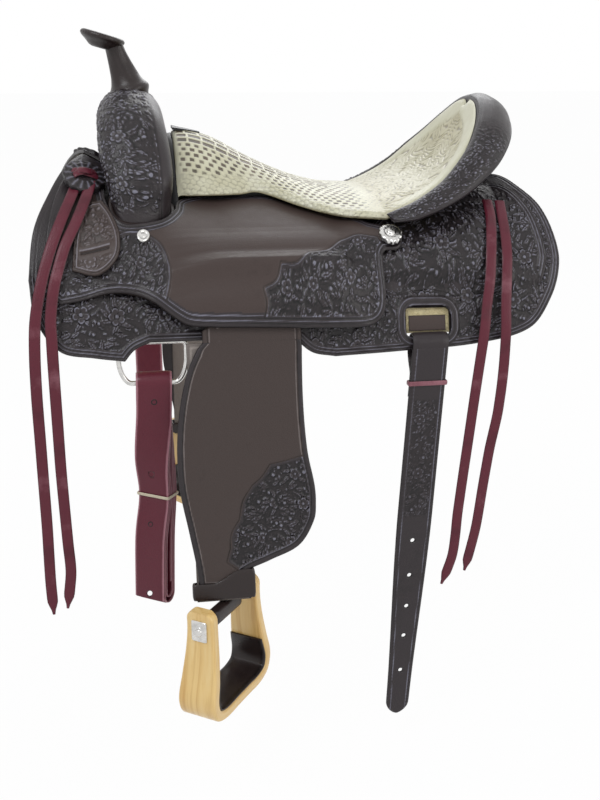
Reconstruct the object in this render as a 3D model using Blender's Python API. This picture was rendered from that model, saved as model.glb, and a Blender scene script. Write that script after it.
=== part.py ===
"""Western trail saddle, built as its separate leather, wood and metal pieces.

Sizes below are in millimetres and become metres when a mesh is made. The front
of the saddle is -X, the near side -Y, +Z is up. The origin lies on the plane of
symmetry, 20 mm under the ridge line of the back that carries the saddle.

The side that the leather lies on is a surface with two coordinates: x along the
saddle and v down from a knee line. Above the knee (v < 0) it rounds over to the
ridge, and below it is flat. Layers lie at heights h out from that surface.
"""
import math
from bisect import bisect_left

import bmesh
import bpy
from mathutils import Vector
from mathutils.bvhtree import BVHTree
from mathutils.geometry import delaunay_2d_cdt

MM = 0.001

# The back that the saddle is shaped for.
KNEE_Y = 207.0
KNEE_Z = -75.0
SIDE_SLOPE = math.radians(76.0)
RIDGE_FULLNESS = 0.85
RIDGE_MID = 20.0
RIDGE_FRONT_RISE = 110.0
RIDGE_FRONT_FROM = -90.0
RIDGE_FRONT_RUN = 235.0
RIDGE_REAR_RISE = 72.0
RIDGE_REAR_FROM = 90.0
RIDGE_REAR_RUN = 228.0

# Layers of the side, from the back outward.
FLEECE_THICK = 10.5
SKIN_GAP = 0.9
SKIRT_THICK = 5.0
LAYER_GAP = 1.0
BAR_EDGE = 1.5
BAR_RISE = 22.0
BAR_HALF_LENGTH = 245.0
BAR_MIDDLE = -122.5
BAR_HALF_WIDTH = 72.5
COVER_GROW = 12.0
GROUND_LIFT = 8.0
JOCKEY_THICK = 4.0
REAR_JOCKEY_THICK = 3.0
JOCKEY_SPARE = 1.5
SKIRT_LOW = FLEECE_THICK + SKIN_GAP
SKIRT_HIGH = SKIRT_LOW + SKIRT_THICK
BAR_GAP = 1.6
BAR_LOW = SKIRT_HIGH + BAR_GAP
COVER_SPARE = 0.5
COVER_RISE = BAR_RISE + BAR_EDGE + LAYER_GAP + COVER_SPARE

# Straps of the stirrup leg, which lie in the flat lower plane of the side.
STRAP_THICK = 3.5
STRAP_GAP = 1.5
STRAP_LOW = SKIRT_HIGH + STRAP_GAP
FENDER_THICK = 4.0
FENDER_GAP = 0.4
FENDER_LOW = STRAP_LOW + STRAP_THICK + FENDER_GAP
FENDER_HIGH = FENDER_LOW + FENDER_THICK
STRAP_WIDTH = 64.0
STRAP_X = -116.0
SWING_S = 14.0
FLEX_S = 12.0
FLEX_GAP = 0.3
HOBBLE_S = 288.0
HOBBLE_WIDTH = 27.0
HOBBLE_THICK = 3.0
HOBBLE_FIT = 0.8
TURN_S = 319.0
TURN_GAP = 0.5
BOLT_DROP = 12.0
WEDGE_GAP = 0.35
STIRRUP_TURN = math.radians(55.0)

# Stirrup, in its own frame.
BOLT_RADIUS = 4.0
BOLT_FIT = 0.3
STIRRUP_ARM_HALF = 52.0
STIRRUP_TREAD_HALF = 64.0
STIRRUP_ABOVE = 24.0
STIRRUP_DROP = 118.0
STIRRUP_THICK = 13.0
TREAD_FLAT_HALF = 14.0
STIRRUP_TOP_DEPTH = 36.0
STIRRUP_TREAD_DEPTH = 50.0
TREAD_LEATHER = 2.5
WASHER_RADIUS = 9.0
WASHER_THICK = 2.0

# Fork, horn and cantle.
FORK_X = -200.0
FORK_HALF = 35.5
SWELL_GAP = 0.8
SWELL_THICK = 3.5
HORN_LEAN = math.radians(17.0)
HORN_NECK_LENGTH = 58.0
HORN_FOOT_RADIUS = 18.5
HORN_TOP_RADIUS = 8.0
HORN_LEATHER = 3.0
HORN_FIT = 0.4
CAP_RADIUS = 28.0
CAP_THICK = 12.0
CAP_FLARE = 5.0
CAP_TILT = math.radians(16.0)
SEAT_THICK = 13.0
SEAT_EDGE = 8.0
CANTLE_THICK = 14.0
CANTLE_LEATHER = 3.0
ROLL_WIDTH = 47.0

# Rigging and ties.
DEE_ROD = 3.0
DEE_HALF = 40.0
DEE_DROP = 50.0
DEE_X = -187.0
LATIGO_WIDTH = 42.0
LATIGO_THICK = 3.0
LATIGO_PITCH = 3.6
LATIGO_INNER = 5.2
LATIGO_LENGTH = 285.0
LATIGO_LEAN = 0.035
LATIGO_PINCH = 4.0
LATIGO_TWIST = math.radians(34.0)
BILLET_WIDTH = 44.0
BILLET_THICK = 3.5
SLOT_X = 145.0
SLOT_HALF = 27.0
SLOT_TOP = -18.0
STRIP_TOP = 14.0
STRING_WIDTH = 13.0
STRING_THICK = 2.6

GRID_X = 34.0
GRID_V = 18.0
FLAT_BELOW = 1.0
EDGE_STEP = 27.0


def smooth_step(start, end, value):
    share = min(max((value - start) / (end - start), 0.0), 1.0)
    return share * share * (3.0 - 2.0 * share)


def finish(name, colour, roughness, metallic=0.0):
    material = bpy.data.materials.new(name)
    material.use_nodes = True
    shader = material.node_tree.nodes["Principled BSDF"]
    shader.inputs["Base Color"].default_value = (*colour, 1.0)
    shader.inputs["Roughness"].default_value = roughness
    shader.inputs["Metallic"].default_value = metallic
    material.diffuse_color = (*colour, 1.0)
    return material


DARK_LEATHER = (0.045, 0.022, 0.018)
BROWN_LEATHER = (0.085, 0.048, 0.040)
BURGUNDY = (0.17, 0.020, 0.030)
CREAM = (0.72, 0.66, 0.44)
FLEECE = (0.78, 0.68, 0.40)
WOOD = (0.62, 0.36, 0.12)
RAWHIDE = (0.55, 0.45, 0.30)
NICKEL = (0.72, 0.72, 0.70)


def make(name, points, faces, colour, roughness=0.55, metallic=0.0, crease=38.0):
    """A node from points in millimetres, its faces turned outward."""
    mesh = bpy.data.meshes.new(name)
    mesh.from_pydata([(x * MM, y * MM, z * MM) for x, y, z in points], [], faces)
    body = bmesh.new()
    body.from_mesh(mesh)
    bmesh.ops.recalc_face_normals(body, faces=body.faces)
    body.to_mesh(mesh)
    body.free()
    mesh.shade_smooth()
    mesh.set_sharp_from_angle(angle=math.radians(crease))
    mesh.materials.append(finish(name, colour, roughness, metallic))
    node = bpy.data.objects.new(name, mesh)
    bpy.context.collection.objects.link(node)
    return node


def cut(node, cutter):
    """Take a helper's volume out of a node."""
    cutter.hide_render = True
    cutter.display_type = "WIRE"
    boolean = node.modifiers.new("cut_" + cutter.name, "BOOLEAN")
    boolean.operation = "DIFFERENCE"
    boolean.solver = "EXACT"
    boolean.object = cutter


def joint_at(name, point):
    """An empty on a joint's axis."""
    hub = bpy.data.objects.new(name, None)
    hub.location = (point[0] * MM, point[1] * MM, point[2] * MM)
    bpy.context.collection.objects.link(hub)
    return hub


def carry(hub, nodes):
    """Parent pieces to a joint's empty and leave them where they are."""
    bpy.context.view_layer.update()
    for node in nodes:
        node.parent = hub
        node.matrix_parent_inverse = hub.matrix_world.inverted()


def loft(name, rings, colour, caps=(True, True), **look):
    """Skin a row of rings of equal count; a cap closes an end with one face."""
    count = len(rings[0])
    points = [point for ring in rings for point in ring]
    faces = []
    for row in range(len(rings) - 1):
        for k in range(count):
            a = row * count + k
            b = row * count + (k + 1) % count
            faces.append((a, b, b + count, a + count))
    if caps[0]:
        faces.append(tuple(range(count)))
    if caps[1]:
        faces.append(tuple(range((len(rings) - 1) * count, len(rings) * count)))
    return make(name, points, faces, colour, **look)


def sleeve(name, outer, inner, colour, **look):
    """An open-ended tube wall between two rows of rings."""
    count = len(outer[0])
    rows = len(outer)
    points = [point for ring in outer + inner for point in ring]
    faces = []
    for row in range(rows - 1):
        for k in range(count):
            a = row * count + k
            b = row * count + (k + 1) % count
            faces.append((a, b, b + count, a + count))
            c = a + rows * count
            d = b + rows * count
            faces.append((c, c + count, d + count, d))
    for row in (0, rows - 1):
        for k in range(count):
            a = row * count + k
            b = row * count + (k + 1) % count
            faces.append((a, b, b + rows * count, a + rows * count))
    return make(name, points, faces, colour, **look)


def smooth_run(points, step):
    """Points about one step apart on a smooth curve through the given ones."""
    points = [Vector(p) for p in points]
    knots = [0.0]
    for a, b in zip(points, points[1:]):
        knots.append(knots[-1] + (b - a).length)
    last = len(points) - 1
    slopes = []
    for i in range(last + 1):
        a = max(i - 1, 0)
        b = min(i + 1, last)
        slopes.append((points[b] - points[a]) / (knots[b] - knots[a]))
    run = []
    for i in range(last):
        span = knots[i + 1] - knots[i]
        count = max(1, round(span / step))
        for k in range(count):
            t = k / count
            run.append(points[i] * (1 + 2 * t) * (1 - t) ** 2
                       + slopes[i] * span * t * (1 - t) ** 2
                       + points[i + 1] * t * t * (3 - 2 * t)
                       + slopes[i + 1] * span * t * t * (t - 1))
    run.append(points[-1])
    return run


def outline(points, step=EDGE_STEP):
    """Closed outline from (x, v) points; a third value marks a corner, and the first is one."""
    closed = list(points) + [points[0]]
    corners = [i for i, p in enumerate(closed) if len(p) > 2 or i == len(points)]
    result = []
    for a, b in zip(corners, corners[1:]):
        result += smooth_run([p[:2] for p in closed[a:b + 1]], step)[:-1]
    return result


def round_slot(x0, x1, v0, v1, radius, arc=3):
    """Outline of a slot with round corners."""
    result = []
    for cx, cv, start in ((x1 - radius, v1 - radius, 0), (x0 + radius, v1 - radius, 1),
                          (x0 + radius, v0 + radius, 2), (x1 - radius, v0 + radius, 3)):
        for k in range(arc + 1):
            angle = math.pi / 2 * (start + k / arc)
            result.append(Vector((cx + radius * math.cos(angle), cv + radius * math.sin(angle))))
    return result


def ring_outline(x, v, radius, count=16, scallops=0, depth=0.0):
    """A round or scalloped outline about a point."""
    result = []
    for k in range(count):
        angle = 2 * math.pi * k / count
        reach = radius - depth * (0.5 + 0.5 * math.cos(scallops * angle)) if scallops else radius
        result.append(Vector((x + reach * math.cos(angle), v + reach * math.sin(angle))))
    return result


def inside(point, loop):
    """True when a flat point lies inside a closed loop."""
    hit = False
    for a, b in zip(loop, loop[1:] + loop[:1]):
        if (a[1] > point[1]) != (b[1] > point[1]):
            cross = a[0] + (point[1] - a[1]) / (b[1] - a[1]) * (b[0] - a[0])
            if point[0] < cross:
                hit = not hit
    return hit


def near_loop(point, loop, reach):
    """True when a flat point lies within reach of a loop's edges."""
    for a, b in zip(loop, loop[1:] + loop[:1]):
        along = b - a
        share = min(max((point - a).dot(along) / max(along.length_squared, 1e-9), 0.0), 1.0)
        if (a + along * share - point).length < reach:
            return True
    return False


def flat_mesh(border, holes=(), grid=(GRID_X, GRID_V)):
    """Triangles that fill a border, with the points of one shared grid inside it."""
    loops = [border] + list(holes)
    verts = []
    edges = []
    for loop in loops:
        first = len(verts)
        verts += loop
        edges += [(first + k, first + (k + 1) % len(loop)) for k in range(len(loop))]
    low_x, high_x = min(p[0] for p in border), max(p[0] for p in border)
    low_v, high_v = min(p[1] for p in border), max(p[1] for p in border)
    row = math.floor(low_v / grid[1])
    while row * grid[1] < min(high_v, FLAT_BELOW):
        shift = grid[0] / 2 if row % 2 else 0.0
        column = math.floor(low_x / grid[0])
        while column * grid[0] < high_x:
            point = Vector((column * grid[0] + shift, row * grid[1]))
            clear = not any(near_loop(point, loop, 0.4 * grid[1]) for loop in loops)
            if clear and inside(point, border) and not any(inside(point, hole) for hole in holes):
                verts.append(point)
            column += 1
        row += 1
    found = delaunay_2d_cdt(verts, edges, [], 0, 1e-4)
    triangles = []
    for face in found[2]:
        middle = sum((found[0][k] for k in face), Vector((0.0, 0.0))) / len(face)
        if inside(middle, border) and not any(inside(middle, hole) for hole in holes):
            triangles.append(tuple(face))
    return list(found[0]), triangles


def sheet(name, flat, low, high, place_point, side, colour, **look):
    """A leather sheet: a flat mesh laid at a lower and an upper height on a surface."""
    verts, triangles = flat
    count = len(verts)
    used = {}
    for triangle in triangles:
        for a, b in zip(triangle, triangle[1:] + triangle[:1]):
            used[(a, b)] = used.get((a, b), 0) + 1
    points = []
    for height in (low, high):
        for p in verts:
            h = height(p[0], p[1]) if callable(height) else height
            x, y, z = place_point(p[0], p[1], h)
            points.append((x, side * y, z))
    faces = [tuple(reversed(t)) for t in triangles]
    faces += [tuple(k + count for k in t) for t in triangles]
    faces += [(a, b, b + count, a + count) for a, b in used if (b, a) not in used]
    return make(name, points, faces, colour, **look)


def ridge(x):
    """Height of the back's ridge line along the saddle."""
    front = min(max((RIDGE_FRONT_FROM - x) / RIDGE_FRONT_RUN, 0.0), 1.0)
    rear = min(max((x - RIDGE_REAR_FROM) / RIDGE_REAR_RUN, 0.0), 1.0)
    return (RIDGE_MID + RIDGE_FRONT_RISE * math.sin(math.pi / 2 * front) ** 2
            + RIDGE_REAR_RISE * math.sin(math.pi / 2 * rear) ** 2)


PROFILES = {}


def profile(x):
    """Control points of the curve from ridge to knee, and its length table from the knee."""
    key = round(x, 3)
    if key not in PROFILES:
        top = Vector((0.0, ridge(x)))
        knee = Vector((KNEE_Y, KNEE_Z))
        reach = RIDGE_FULLNESS * (top.y - knee.y) / math.sin(SIDE_SLOPE)
        middle = knee + reach * Vector((-math.cos(SIDE_SLOPE), math.sin(SIDE_SLOPE)))
        lengths = [0.0]
        last = knee
        for k in range(1, 61):
            t = 1.0 - k / 60
            point = top * (1 - t) ** 2 + middle * 2 * t * (1 - t) + knee * t * t
            lengths.append(lengths[-1] + (point - last).length)
            last = point
        PROFILES[key] = (top, middle, knee, lengths)
    return PROFILES[key]


def side_frame(x, v):
    """Point and outward normal of the side in the YZ plane, on the +Y side."""
    if v >= 0:
        point = Vector((KNEE_Y + v * math.cos(SIDE_SLOPE), KNEE_Z - v * math.sin(SIDE_SLOPE)))
        return point, Vector((math.sin(SIDE_SLOPE), math.cos(SIDE_SLOPE)))
    top, middle, knee, lengths = profile(x)
    reach = min(-v, lengths[-1])
    k = min(max(bisect_left(lengths, reach), 1), 60)
    share = (reach - lengths[k - 1]) / (lengths[k] - lengths[k - 1])
    t = 1.0 - (k - 1 + share) / 60
    point = top * (1 - t) ** 2 + middle * 2 * t * (1 - t) + knee * t * t
    along = ((middle - top) * (1 - t) + (knee - middle) * t).normalized()
    return point, Vector((-along.y, along.x))


def on_side(x, v, h):
    """World point on the +Y side, h out from the surface."""
    point, normal = side_frame(x, v)
    spot = point + normal * h
    return (x, spot.x, spot.y)


def on_plane(x, s, h):
    """World point in the flat plane of the stirrup leg, s down from the knee line."""
    y = KNEE_Y + s * math.cos(SIDE_SLOPE) + h * math.sin(SIDE_SLOPE)
    z = KNEE_Z - s * math.sin(SIDE_SLOPE) + h * math.cos(SIDE_SLOPE)
    return (x, y, z)


def bulge(x, v, grow, flat_above):
    """Lens shape of the tree bar, 1 in its middle and 0 at its edge."""
    across = (v - BAR_MIDDLE) / (BAR_HALF_WIDTH + grow)
    if flat_above and v < BAR_MIDDLE:
        across = 0.0
    along = abs(x) / (BAR_HALF_LENGTH + grow)
    return max(0.0, 1 - across ** 4) * max(0.0, 1 - along ** 6)


def bar_high(x, v):
    return BAR_LOW + BAR_EDGE + BAR_RISE * bulge(x, v, 0.0, False)


def rear_low(x, v):
    return BAR_LOW + COVER_RISE * bulge(x, v, COVER_GROW, False)


def rear_high(x, v):
    return rear_low(x, v) + REAR_JOCKEY_THICK


def strap_shoulder(x, v):
    """Extra height of the jockey where the stirrup leather runs under it."""
    along = smooth_step(-220, -175, x) * (1 - smooth_step(35, 80, x))
    down = 1 - smooth_step(50, 100, -v)
    point, normal = side_frame(x, max(v, -55))
    plane = Vector((math.sin(SIDE_SLOPE), math.cos(SIDE_SLOPE)))
    offset = plane.dot(point - Vector((KNEE_Y, KNEE_Z)))
    need = (FENDER_HIGH + LAYER_GAP - offset) / plane.dot(normal)
    return (need - BAR_LOW) * along * down


def jockey_low(x, v):
    seat_lift = GROUND_LIFT * smooth_step(120, 180, -v)
    seat_lift *= (1 - smooth_step(-40, 20, x)) * smooth_step(-260, -150, x)
    over_bar = COVER_RISE * bulge(x, v, COVER_GROW, True) + seat_lift
    over_rear = (REAR_JOCKEY_THICK + LAYER_GAP + JOCKEY_SPARE) * smooth_step(40, 70, x)
    over_rear *= 1 - smooth_step(108, 128, -v)
    return BAR_LOW + max(over_bar, strap_shoulder(x, v)) + over_rear


def jockey_high(x, v):
    return jockey_low(x, v) + JOCKEY_THICK


SIDES = (("near", -1), ("off", 1))

SKIRT_EDGE = [(-324, -65, 1), (-318, -21), (-292, 16), (-253, 25), (-219, 30, 1), (-207, 17), (-189, 9, 1),
              (-20, 9, 1), (2, 28), (30, 34, 1), (109, 31), (209, 25), (274, 9), (304, -28), (318, -67),
              (318, -101), (310, -147), (295, -183), (280, -218), (262, -236, 1)]
SKIRT_FRONT = [(-262, -268, 1), (-281, -222), (-298, -176), (-317, -123)]
DEE_NOTCH = [(-253, 25), (-236, 26, 1), (-236, -14, 1), (-134, -14, 1), (-134, 9, 1), (-20, 9, 1)]
RIDGE_MARGIN = 22.0


def inner_edge(start, end, count):
    """Points beside the ridge line, where the two skirts are laced together."""
    row = []
    for k in range(count + 1):
        x = start + (end - start) * k / count
        row.append((x, RIDGE_MARGIN - profile(x)[3][-1]))
    return row


def build_side_layers(label, side):
    """Fleece, skirt, tree bar and the two jockeys of one side."""
    top_edge = inner_edge(230, -230, 10)
    border = outline(SKIRT_EDGE + top_edge + SKIRT_FRONT)
    slot = round_slot(SLOT_X - SLOT_HALF, SLOT_X + SLOT_HALF, SLOT_TOP, STRIP_TOP, 5.0)
    flat = flat_mesh(border, [slot])
    sheet(label + "_skirt", flat, SKIRT_LOW, SKIRT_HIGH, on_side, side, DARK_LEATHER)

    notch_left = SLOT_X - SLOT_HALF - 3
    notch_right = SLOT_X + SLOT_HALF + 3
    lining = SKIRT_EDGE[:3] + DEE_NOTCH
    lining += [(2, 28), (30, 34, 1), (notch_left, 31, 1), (notch_left, 0, 1), (notch_right, 0, 1),
               (notch_right, 28, 1)] + SKIRT_EDGE[11:]
    flat = flat_mesh(outline(lining + top_edge + SKIRT_FRONT))
    sheet(label + "_fleece", flat, 0.0, FLEECE_THICK, on_side, side, FLEECE, roughness=0.95)

    low = BAR_MIDDLE + BAR_HALF_WIDTH
    high = BAR_MIDDLE - BAR_HALF_WIDTH
    reach = BAR_HALF_LENGTH
    bar = [(-reach, BAR_MIDDLE, 1), (-reach + 18, low - 14), (-reach + 75, low, 1), (reach - 75, low, 1),
           (reach - 18, low - 14), (reach, BAR_MIDDLE, 1), (reach - 18, high + 14), (reach - 75, high, 1),
           (-reach + 75, high, 1), (-reach + 18, high + 14)]
    flat = flat_mesh(outline(bar))
    sheet(label + "_bar", flat, BAR_LOW, bar_high, on_side, side, RAWHIDE)

    jockey = [(-289, -36, 1), (-267, -39), (-232, -45), (-204, -41), (-182, -30), (-160, -15), (-143, -7),
              (-110, -4, 1), (-73, -3), (33, 0), (72, -1), (86, -8), (92, -22), (93, -63), (97, -68, 1),
              (114, -70), (121, -84), (114, -98), (97, -104, 1), (86, -108, 1), (60, -132), (30, -158),
              (0, -176), (-60, -186), (-118, -182, 1), (-140, -158), (-147, -135), (-162, -112), (-190, -104),
              (-217, -108), (-238, -137), (-245, -172), (-249, -210, 1), (-264, -222), (-284, -185),
              (-300, -128), (-304, -80), (-300, -48)]
    flat = flat_mesh(outline(jockey, 17.0))
    jockey_node = sheet(label + "_seat_jockey", flat, jockey_low, jockey_high, on_side, side, BROWN_LEATHER)

    arch = SLOT_TOP - 14
    rear = [(84, -8, 1), (104, -8, 1), (106, arch, 1), (184, arch, 1), (190, -6, 1), (234, -8), (278, -26),
            (299, -66), (300, -95), (292, -144), (270, -188), (230, -200, 1), (170, -200), (140, -192, 1),
            (124, -158), (84, -104, 1)]
    flat = flat_mesh(outline(rear, 15.0))
    rear_node = sheet(label + "_rear_jockey", flat, rear_low, rear_high, on_side, side, DARK_LEATHER)
    return laid_surface(jockey_node, side), laid_surface(rear_node, side)


PROBE = 90.0
PROBE_SPREAD = 7.0


def laid_surface(node, side):
    """Search tree of a laid sheet, in millimetres and on the +Y side."""
    points = [Vector((p.co.x, side * p.co.y, p.co.z)) / MM for p in node.data.vertices]
    return BVHTree.FromPolygons(points, [tuple(face.vertices) for face in node.data.polygons])


def top_height(tree, x, v):
    """Highest that a laid sheet reaches above the surface close to a spot."""
    best = jockey_high(x, v) if x < SLOT_X else rear_high(x, v)
    for dx, dv in ((0, 0), (1, 0), (-1, 0), (0, 1), (0, -1)):
        a, b = x + dx * PROBE_SPREAD, v + dv * PROBE_SPREAD
        start = Vector(on_side(a, b, PROBE))
        down = (Vector(on_side(a, b, 0.0)) - start).normalized()
        distance = tree.ray_cast(start, down, PROBE)[3]
        if distance is not None:
            best = max(best, PROBE - distance)
    return best


ROSETTE = (-256.0, -186.0)
ROSETTE_THICK = 3.0
REAR_ROSETTE = (106.0, -84.0)
CONCHO = (-191.0, -96.0)
SEAT_ON = 0.8
KEEPER_THICK = 3.5


def build_fittings(label, side, jockey):
    """Rosettes, concho and the latigo keeper, which lie on the seat jockey."""
    discs = (("front_rosette", ROSETTE, 25.0, ROSETTE_THICK, 0, BURGUNDY, 0.0),
             ("rear_rosette", REAR_ROSETTE, 14.0, 5.0, 8, NICKEL, 1.0),
             ("concho", CONCHO, 7.5, 2.5, 0, NICKEL, 1.0))
    for name, (x, v), radius, thick, scallops, colour, metallic in discs:
        rim = ring_outline(x, v, radius, 24, scallops, 2.5)
        flat = flat_mesh(rim)
        low = max(top_height(jockey, p[0], p[1]) for p in flat[0]) + SEAT_ON
        if name == "front_rosette":
            sheet(label + "_" + name, flat, lambda x, v: top_height(jockey, x, v) + SEAT_ON,
                  lambda x, v: top_height(jockey, x, v) + SEAT_ON + ROSETTE_THICK, on_side, side, colour)
        else:
            sheet(label + "_" + name, flat, lambda x, v: top_height(jockey, x, v) + SEAT_ON, low + thick,
                  on_side, side, colour, metallic=metallic, roughness=0.3)
    if side < 0:
        flap = [(-238, -150, 1), (-226, -128), (-218, -101), (-220, -80), (-232, -68), (-248, -63),
                (-274, -71, 1), (-270, -109), (-261, -145, 1)]
        sheet(label + "_latigo_keeper", flat_mesh(outline(flap)),
              lambda x, v: top_height(jockey, x, v) + SEAT_ON,
              lambda x, v: top_height(jockey, x, v) + SEAT_ON + KEEPER_THICK,
              on_side, side, DARK_LEATHER)


def box_ring(half_a, half_b, bevel):
    """Corner points of a rectangle with cut corners."""
    ring = []
    for a, b in ((1, 1), (-1, 1), (-1, -1), (1, -1)):
        pair = [(a * half_a, b * (half_b - bevel)), (a * (half_a - bevel), b * half_b)]
        ring += pair if a * b > 0 else reversed(pair)
    return ring


def superellipse(count, power):
    """Unit points of a squared-off circle."""
    ring = []
    for k in range(count):
        angle = 2 * math.pi * k / count
        c, s = math.cos(angle), math.sin(angle)
        ring.append((math.copysign(abs(c) ** (2 / power), c), math.copysign(abs(s) ** (2 / power), s)))
    return ring


FORK_OUTER = [(0, 196), (50, 192), (92, 176), (122, 150), (142, 120), (156, 94)]
FORK_INNER = [(0, 140), (32, 137), (60, 127), (80, 115), (96, 106), (104, 100)]
FORK_SHIFT = [0, 0, 1, 3, 6, 8]
FORK_SWELL = [0, 1, 2, 3, 2, 0]
FORK_SQUARENESS = [2.0, 2.05, 2.2, 2.4, 2.6, 2.7]
FORK_FOOT_V = (-120.0, -167.0)
FORK_FOOT_DRAW = 7.0
FORK_FOOT_GAP = 0.9
COVER_FOOT = ((5.5, 1.0),)
FORK_FOOT = ((5.5, 1.0), (FORK_FOOT_GAP, 1.0), (FORK_FOOT_GAP, 0.6), (FORK_FOOT_GAP, 0.25))
RING_COUNT = 18


def fork_rings(offset, foot_rows):
    """Rings of the fork's arch from the near foot to the far foot, grown by an offset."""
    unit = superellipse(RING_COUNT, FORK_SQUARENESS[-1])
    half_row = []
    for row, (outer, inner, shift, swell) in enumerate(zip(FORK_OUTER, FORK_INNER, FORK_SHIFT, FORK_SWELL)):
        section = superellipse(RING_COUNT, FORK_SQUARENESS[row])
        out = Vector(outer)
        into = Vector(inner)
        middle = (out + into) / 2
        across = (out - into) / 2
        across = across.normalized() * (across.length + offset)
        length = FORK_HALF + swell + offset
        half_row.append([(FORK_X + shift + length * c, (middle + across * s).x, (middle + across * s).y)
                         for c, s in section])
    foot_x = FORK_X + FORK_SHIFT[-1] + 2
    foot_v = (FORK_FOOT_V[0] + FORK_FOOT_V[1]) / 2
    half_v = (FORK_FOOT_V[0] - FORK_FOOT_V[1]) / 2 + offset
    foot = []
    for height, share in foot_rows:
        ring = []
        for c, s in unit:
            x = foot_x + (FORK_HALF - FORK_FOOT_DRAW + offset) * c * share
            v = foot_v + half_v * s * share
            ring.append(on_side(x, v, bar_high(x, v) + height))
        foot.append(ring)
    return half_row, foot


def both_ways(half_row, tail):
    """Rings of one side mirrored into a whole arch."""
    plus = half_row + tail
    minus = [[(x, -y, z) for x, y, z in ring] for ring in reversed(half_row[1:] + tail)]
    return minus + plus


def horn_point(along, radius, angle):
    """A point round the horn's leaning axis, along from the top of the fork."""
    axis = Vector((-math.sin(HORN_LEAN), 0, math.cos(HORN_LEAN)))
    side = Vector((math.cos(HORN_LEAN), 0, math.sin(HORN_LEAN)))
    base = Vector((FORK_X, 0, FORK_OUTER[0][1] + 4))
    spot = base + axis * along + side * radius * math.cos(angle) + Vector((0, radius * math.sin(angle), 0))
    return tuple(spot)


def horn_radius(along):
    share = min(max(along / HORN_NECK_LENGTH, 0.0), 1.0)
    return HORN_TOP_RADIUS + (HORN_FOOT_RADIUS - HORN_TOP_RADIUS) * (1 - share) ** 1.7


def horn_ring(along, extra, count=20):
    radius = horn_radius(along) + extra
    return [horn_point(along, radius, 2 * math.pi * k / count) for k in range(count)]


def build_front():
    """Fork, its cover, and the horn."""
    row, foot = fork_rings(0.0, FORK_FOOT)
    fork = loft("tree_fork", both_ways(row, foot), RAWHIDE)
    outer, outer_foot = fork_rings(SWELL_GAP + SWELL_THICK, COVER_FOOT)
    inner, inner_foot = fork_rings(SWELL_GAP, COVER_FOOT)
    cover = sleeve("swell_cover", both_ways(outer, outer_foot), both_ways(inner, inner_foot), DARK_LEATHER)
    sunk = -30.0
    stops = (sunk, 0.0, 8.0, 18.0, 30.0, 44.0, HORN_NECK_LENGTH)
    loft("horn_core", [horn_ring(along, 0.0) for along in stops], NICKEL, metallic=1.0, roughness=0.4)
    bore = loft("horn_bore", [horn_ring(along, HORN_FIT) for along in (sunk - 0.5, 0.0, 8.0, 18.0)], RAWHIDE)
    cut(fork, bore)
    cut(cover, bore)
    stops = (-16.0, 0.0, 8.0, 16.0, 26.0, 38.0, HORN_NECK_LENGTH - 4)
    neck = sleeve("horn_neck_cover", [horn_ring(along, HORN_FIT + HORN_LEATHER) for along in stops],
                  [horn_ring(along, HORN_FIT) for along in stops], DARK_LEATHER)
    grown, grown_foot = fork_rings(SWELL_GAP + SWELL_THICK + 0.4, COVER_FOOT)
    body = loft("swell_body", both_ways(grown, grown_foot), RAWHIDE)
    cut(neck, body)
    build_horn_cap()


def build_horn_cap():
    """Round leather-wrapped cap, tilted up to the front, over the top of the neck."""
    middle = Vector(horn_point(HORN_NECK_LENGTH + 1.5, 0.0, 0.0)) + Vector((-12, 0, 3))
    up = Vector((math.sin(CAP_TILT), 0, math.cos(CAP_TILT)))
    along = Vector((math.cos(CAP_TILT), 0, -math.sin(CAP_TILT)))
    rings = []
    half = CAP_THICK / 2
    for height, radius in ((-half - CAP_FLARE, CAP_RADIUS - 13.5), (-half, CAP_RADIUS - 7),
                           (-1.0, CAP_RADIUS - 0.8), (1.2, CAP_RADIUS), (half - 1.5, CAP_RADIUS - 1.5),
                           (half, CAP_RADIUS - 5)):
        ring = []
        for k in range(28):
            angle = 2 * math.pi * k / 28
            spot = middle + up * height + along * radius * math.cos(angle)
            ring.append((spot.x, radius * math.sin(angle), spot.z))
        rings.append(ring)
    cap = loft("horn_cap", rings, DARK_LEATHER)
    stops = (HORN_NECK_LENGTH - 25, HORN_NECK_LENGTH + 0.4)
    cut(cap, loft("cap_bore", [horn_ring(along, HORN_FIT + HORN_LEATHER + 0.4) for along in stops], RAWHIDE))


RIM = [(105, 160, 54), (140, 157, 68), (175, 148, 90), (203, 132, 118), (222, 110, 140), (238, 80, 163),
       (249, 40, 182), (252, 0, 188)]
SEAT_SIDE = [(-146, 98, 79), (-110, 92, 78), (-66, 80, 78), (-43, 75, 80), (6, 108, 66), (50, 143, 57),
             (105, 160, 54)]
SEAT_MIDDLE = [(-147, 0, 148), (-100, 0, 136), (-50, 0, 110), (0, 0, 88), (50, 0, 74), (105, 0, 70)]
CANTLE_MIDDLE = [(105, 0, 70), (140, 0, 73), (172, 0, 82), (200, 0, 100), (222, 0, 124), (238, 0, 150),
                 (250, 0, 181)]
SEAT_STEPS = 14
CANTLE_STEPS = 12
CANTLE_REACH = 0.93


def along_run(points, share):
    """Point at a share of the length of a smooth curve."""
    run = smooth_run(points, 6.0)
    lengths = [0.0]
    for a, b in zip(run, run[1:]):
        lengths.append(lengths[-1] + (b - a).length)
    reach = share * lengths[-1]
    k = min(max(bisect_left(lengths, reach), 1), len(run) - 1)
    part = (reach - lengths[k - 1]) / (lengths[k] - lengths[k - 1])
    return run[k - 1].lerp(run[k], part)


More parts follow.
